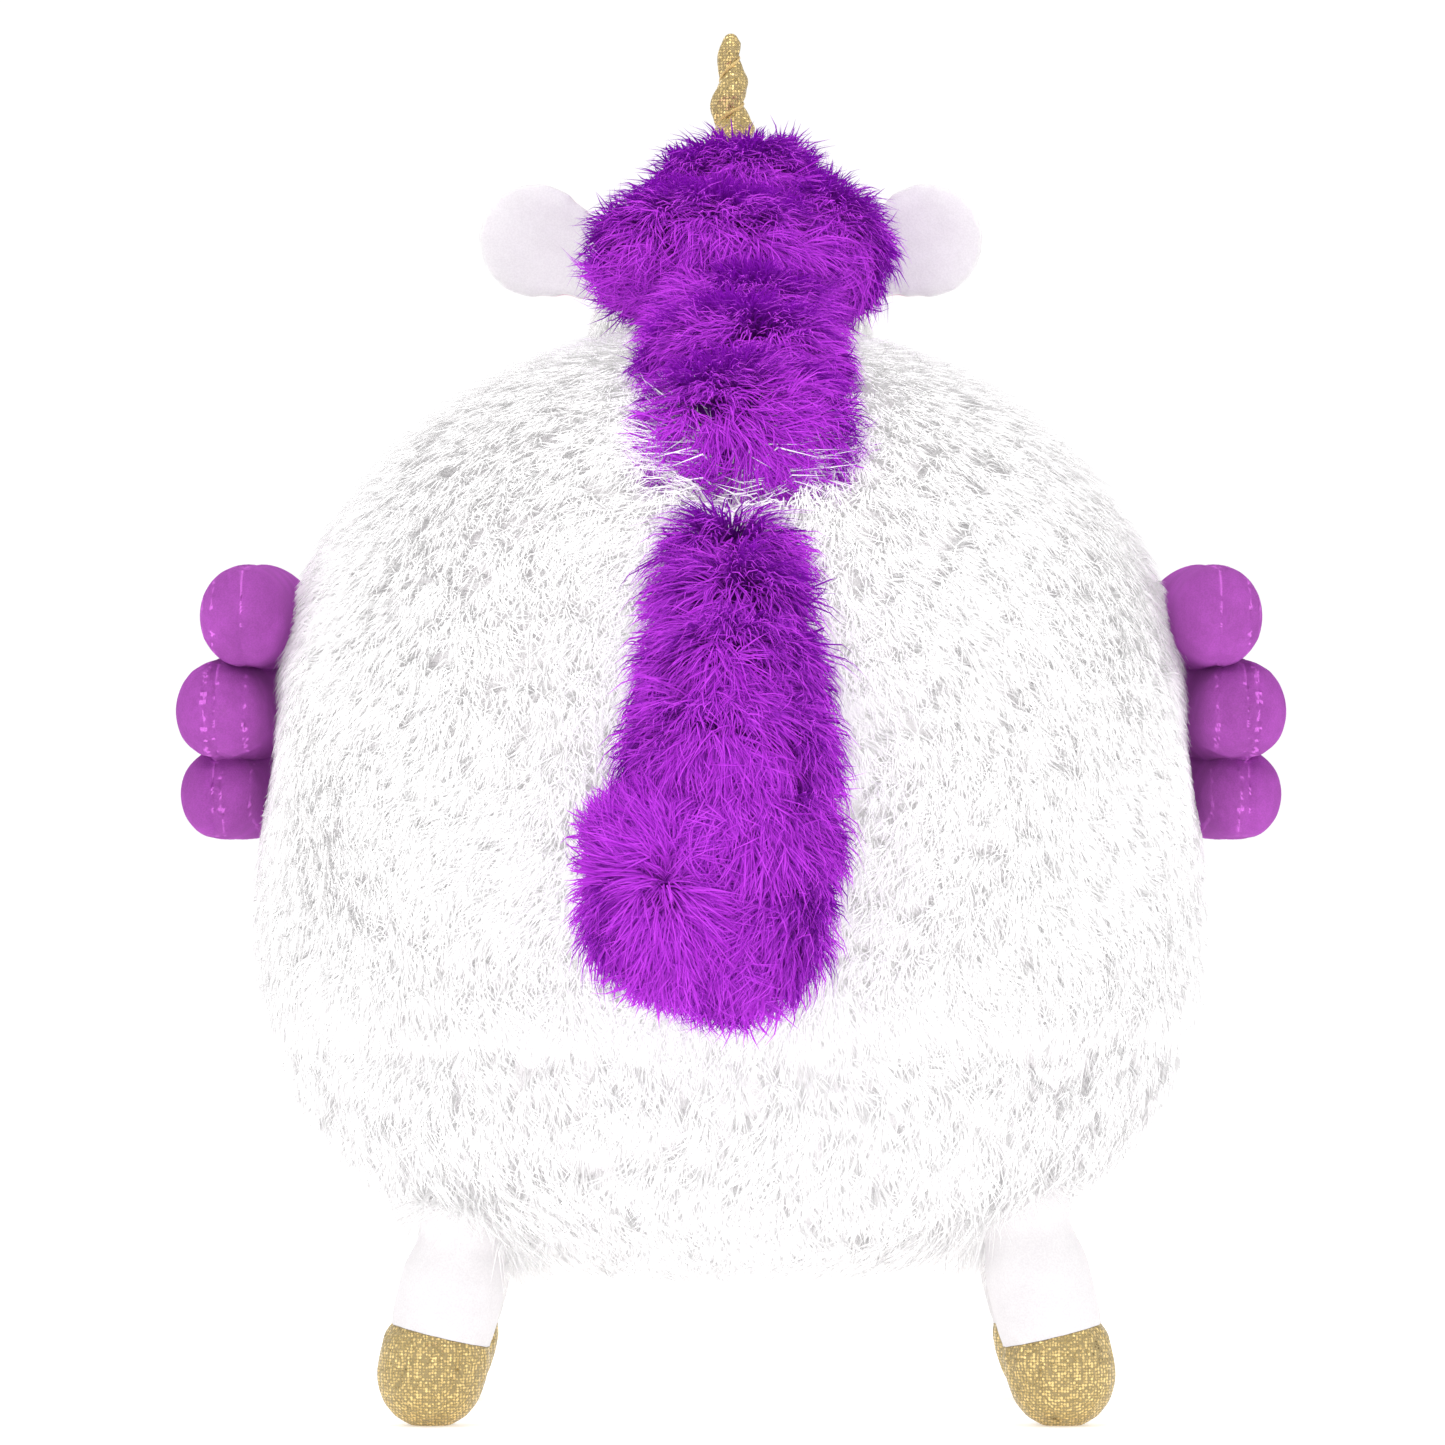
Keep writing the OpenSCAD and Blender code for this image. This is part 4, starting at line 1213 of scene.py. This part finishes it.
class PLUSH_OT_legs(bpy.types.Operator):
    """The four legs: stuffed minky sleeves with rounded foil hooves"""

    bl_idname = "plush.legs"
    bl_label = "Legs"

    def execute(self, context):
        for end in ("rear", "front"):
            for side, sign in SIDES.items():
                self.leg(end, side, sign)
        return {"FINISHED"}

    def leg(self, end, side, sign):
        hip = JOINTS[f"leg_{end}_{side}_swing"]
        reach = (hip.z - HOOF_R + 0.0004 + 0.0025) / math.cos(LEG_SPLAY)
        rim = reach - 0.016
        place = Matrix.Translation(hip) @ Matrix.Rotation(-sign * LEG_SPLAY, 4, "Y")
        r, top = LEG_R - 0.0010, 0.0195
        profile = [(top * math.cos(math.radians(a)), top * math.sin(math.radians(a))) for a in range(90, -31, -15)]
        profile = [(max(0.0, x), z) for x, z in profile]
        profile += [(r * (1 + 0.02 * math.sin(math.pi * i / 5)), -0.018 - (rim - 0.018) * i / 5) for i in range(1, 6)]
        hoof = HOOF_R - 0.0012
        profile += [(hoof, -rim - 0.003), (hoof, -rim - 0.010), (hoof, -reach)]
        profile += [(hoof * math.cos(math.radians(a)), -reach - hoof * math.sin(math.radians(a))) for a in range(15, 90, 15)]
        profile.append((0.0, -reach - hoof))
        form = lathe(profile, 32)
        bmesh.ops.transform(form, matrix=place, verts=form.verts)
        pad = stuff(form, 0.004, 0.0016)
        back = place.inverted()
        turn = place.to_3x3()
        for v in pad.verts:
            local = back @ v.co
            near = abs(local.z + rim)
            flat = Vector((local.x, local.y, 0))
            if near < 0.006 and flat.length > 1e-4:
                # the foil is gathered under the rim of the sleeve
                angle = math.atan2(local.y, local.x)
                depth = 0.0014 * (1 - near / 0.006) ** 2 + 0.0004 * math.sin(13 * angle) * (1 - near / 0.006)
                local -= flat.normalized() * depth
                v.co = place @ local
            if local.z < -rim:
                # a sewn seam runs down the hoof beside the middle
                angle = math.atan2(local.y, local.x * sign) - math.radians(118)
                angle = math.atan2(math.sin(angle), math.cos(angle))
                if abs(angle) < 0.16:
                    v.co = place @ (local - flat.normalized() * 0.0011 * (1 - abs(angle) / 0.16))
            v.co.z = max(v.co.z, 0.0003)
        normal = turn @ Vector((0, 0, 1))
        seam = place @ Vector((0, 0, -rim))
        sleeve = cut(pad, seam, -normal)
        hoof_part = cut(pad, seam - normal * 0.0002, normal)
        pad.free()
        name = f"leg_{end}_{side}"
        made = make(f"stuffed_{name}_sleeve", sleeve, "white_minky")
        settle(made, name, "white_minky", f"{name}_sleeve", f"{name}_stuffing", fill=0.85)
        made = make(f"foil_{name}_hoof", hoof_part, "gold_foil")
        settle(made, name, "gold_foil", f"{name}_hoof", fill=0.9)


class PLUSH_OT_studio(bpy.types.Operator):
    """A plain pale floor, soft lights and the camera behind the toy"""

    bl_idname = "plush.studio"
    bl_label = "Studio"

    def execute(self, context):
        scene, s = context.scene, context.scene.plush_studio
        bm = bmesh.new()
        bmesh.ops.create_circle(bm, cap_ends=True, radius=14.0, segments=96)
        f = Finish("studio_floor", Roughness=0.9, Emission_Strength=0.40)
        f.shader.inputs["Emission Color"].default_value = (1.0, 1.0, 1.0, 1.0)
        grain = f.noise(6.0, 2.0, 0.5)
        f.feed(Base_Color=f.mix(grain, s.floor, scaled(s.floor, 1.01)))
        mesh = bpy.data.meshes.new("studio_floor")
        bm.to_mesh(mesh)
        bm.free()
        floor = bpy.data.objects.new("studio_floor", mesh)
        mesh.materials.append(f.material)
        scene.collection.objects.link(floor)
        world = bpy.data.worlds.new("studio")
        scene.world = world
        world.use_nodes = True
        tree = world.node_tree
        shade = tree.nodes["Background"]
        # the camera sees plain white, and the toy is lit by soft bright and dim bands all round
        around = tree.nodes.new("ShaderNodeTexCoord")
        bands = tree.nodes.new("ShaderNodeTexWave")
        bands.bands_direction = "X"
        bands.inputs["Scale"].default_value = 0.9
        bands.inputs["Distortion"].default_value = 0.6
        bands.inputs["Phase Offset"].default_value = 0.8
        level = tree.nodes.new("ShaderNodeMapRange")
        level.inputs["To Min"].default_value, level.inputs["To Max"].default_value = 0.2, 1.5
        seen = tree.nodes.new("ShaderNodeLightPath")
        pick = tree.nodes.new("ShaderNodeMix")
        pick.inputs["B"].default_value = 1.03
        tree.links.new(around.outputs["Generated"], bands.inputs["Vector"])
        tree.links.new(bands.outputs["Fac"], level.inputs["Value"])
        tree.links.new(seen.outputs["Is Camera Ray"], pick.inputs["Factor"])
        tree.links.new(level.outputs["Result"], pick.inputs["A"])
        tree.links.new(pick.outputs["Result"], shade.inputs["Strength"])
        shade.inputs["Color"].default_value = (1.0, 1.0, 1.0, 1.0)
        for name, at, size, power_w in (
            ("key", (1.2, 2.3, 1.6), 0.9, 10.0),
            ("fill", (-1.9, 1.7, 1.0), 1.2, 4.0),
            ("top", (0.0, 0.9, 2.4), 1.6, 13.0),
            ("front", (0.8, -2.4, 1.5), 1.3, 6.0),
        ):
            light = bpy.data.lights.new(name, "AREA")
            light.shape, light.size, light.energy = "DISK", size, power_w
            lamp = bpy.data.objects.new(name, light)
            lamp.location = at
            lamp.rotation_euler = (Vector((0, 0, 0.25)) - Vector(at)).to_track_quat("-Z", "Y").to_euler()
            scene.collection.objects.link(lamp)
        camera = bpy.data.cameras.new("camera")
        camera.lens, camera.sensor_width = s.lens, 36.0
        eye = bpy.data.objects.new("camera", camera)
        eye.location = (s.aside, s.distance, s.height)
        eye.rotation_euler = (math.radians(90), 0, math.radians(180))
        scene.collection.objects.link(eye)
        scene.camera = eye
        scene.view_settings.view_transform = "Standard"
        return {"FINISHED"}


class PLUSH_PT_unicorn(bpy.types.Panel):
    """Lists what the add-on builds"""

    bl_idname = "PLUSH_PT_unicorn"
    bl_label = "Plush Unicorn"
    bl_space_type = "VIEW_3D"
    bl_region_type = "UI"
    bl_category = "Plush"

    def draw(self, context):
        scene = context.scene
        for group in (scene.plush_sizes, scene.plush_colours, scene.plush_studio):
            for key in group.bl_rna.properties.keys():
                if key not in ("rna_type", "name"):
                    self.layout.prop(group, key)
        for operator in OPERATORS:
            self.layout.operator(operator.bl_idname)


OPERATORS = (
    PLUSH_OT_studio,
    PLUSH_OT_ball,
    PLUSH_OT_mane,
    PLUSH_OT_tail,
    PLUSH_OT_head,
    PLUSH_OT_ears,
    PLUSH_OT_horn,
    PLUSH_OT_wings,
    PLUSH_OT_legs,
)
GROUPS = {"plush_sizes": PlushSizes, "plush_colours": PlushColours, "plush_studio": PlushStudio}


def register():
    for cls in (*GROUPS.values(), *OPERATORS, PLUSH_PT_unicorn):
        bpy.utils.register_class(cls)
    for name, group in GROUPS.items():
        setattr(bpy.types.Scene, name, bpy.props.PointerProperty(type=group))


def unregister():
    for name in GROUPS:
        delattr(bpy.types.Scene, name)
    for cls in (PLUSH_PT_unicorn, *reversed(OPERATORS), *GROUPS.values()):
        bpy.utils.unregister_class(cls)


def main():
    register()
    bpy.ops.plush.studio()
    bpy.ops.plush.ball()
    bpy.ops.plush.mane()
    bpy.ops.plush.tail()
    bpy.ops.plush.head()
    bpy.ops.plush.ears()
    bpy.ops.plush.horn()
    bpy.ops.plush.wings()
    bpy.ops.plush.legs()


if __name__ == "__main__":
    main()
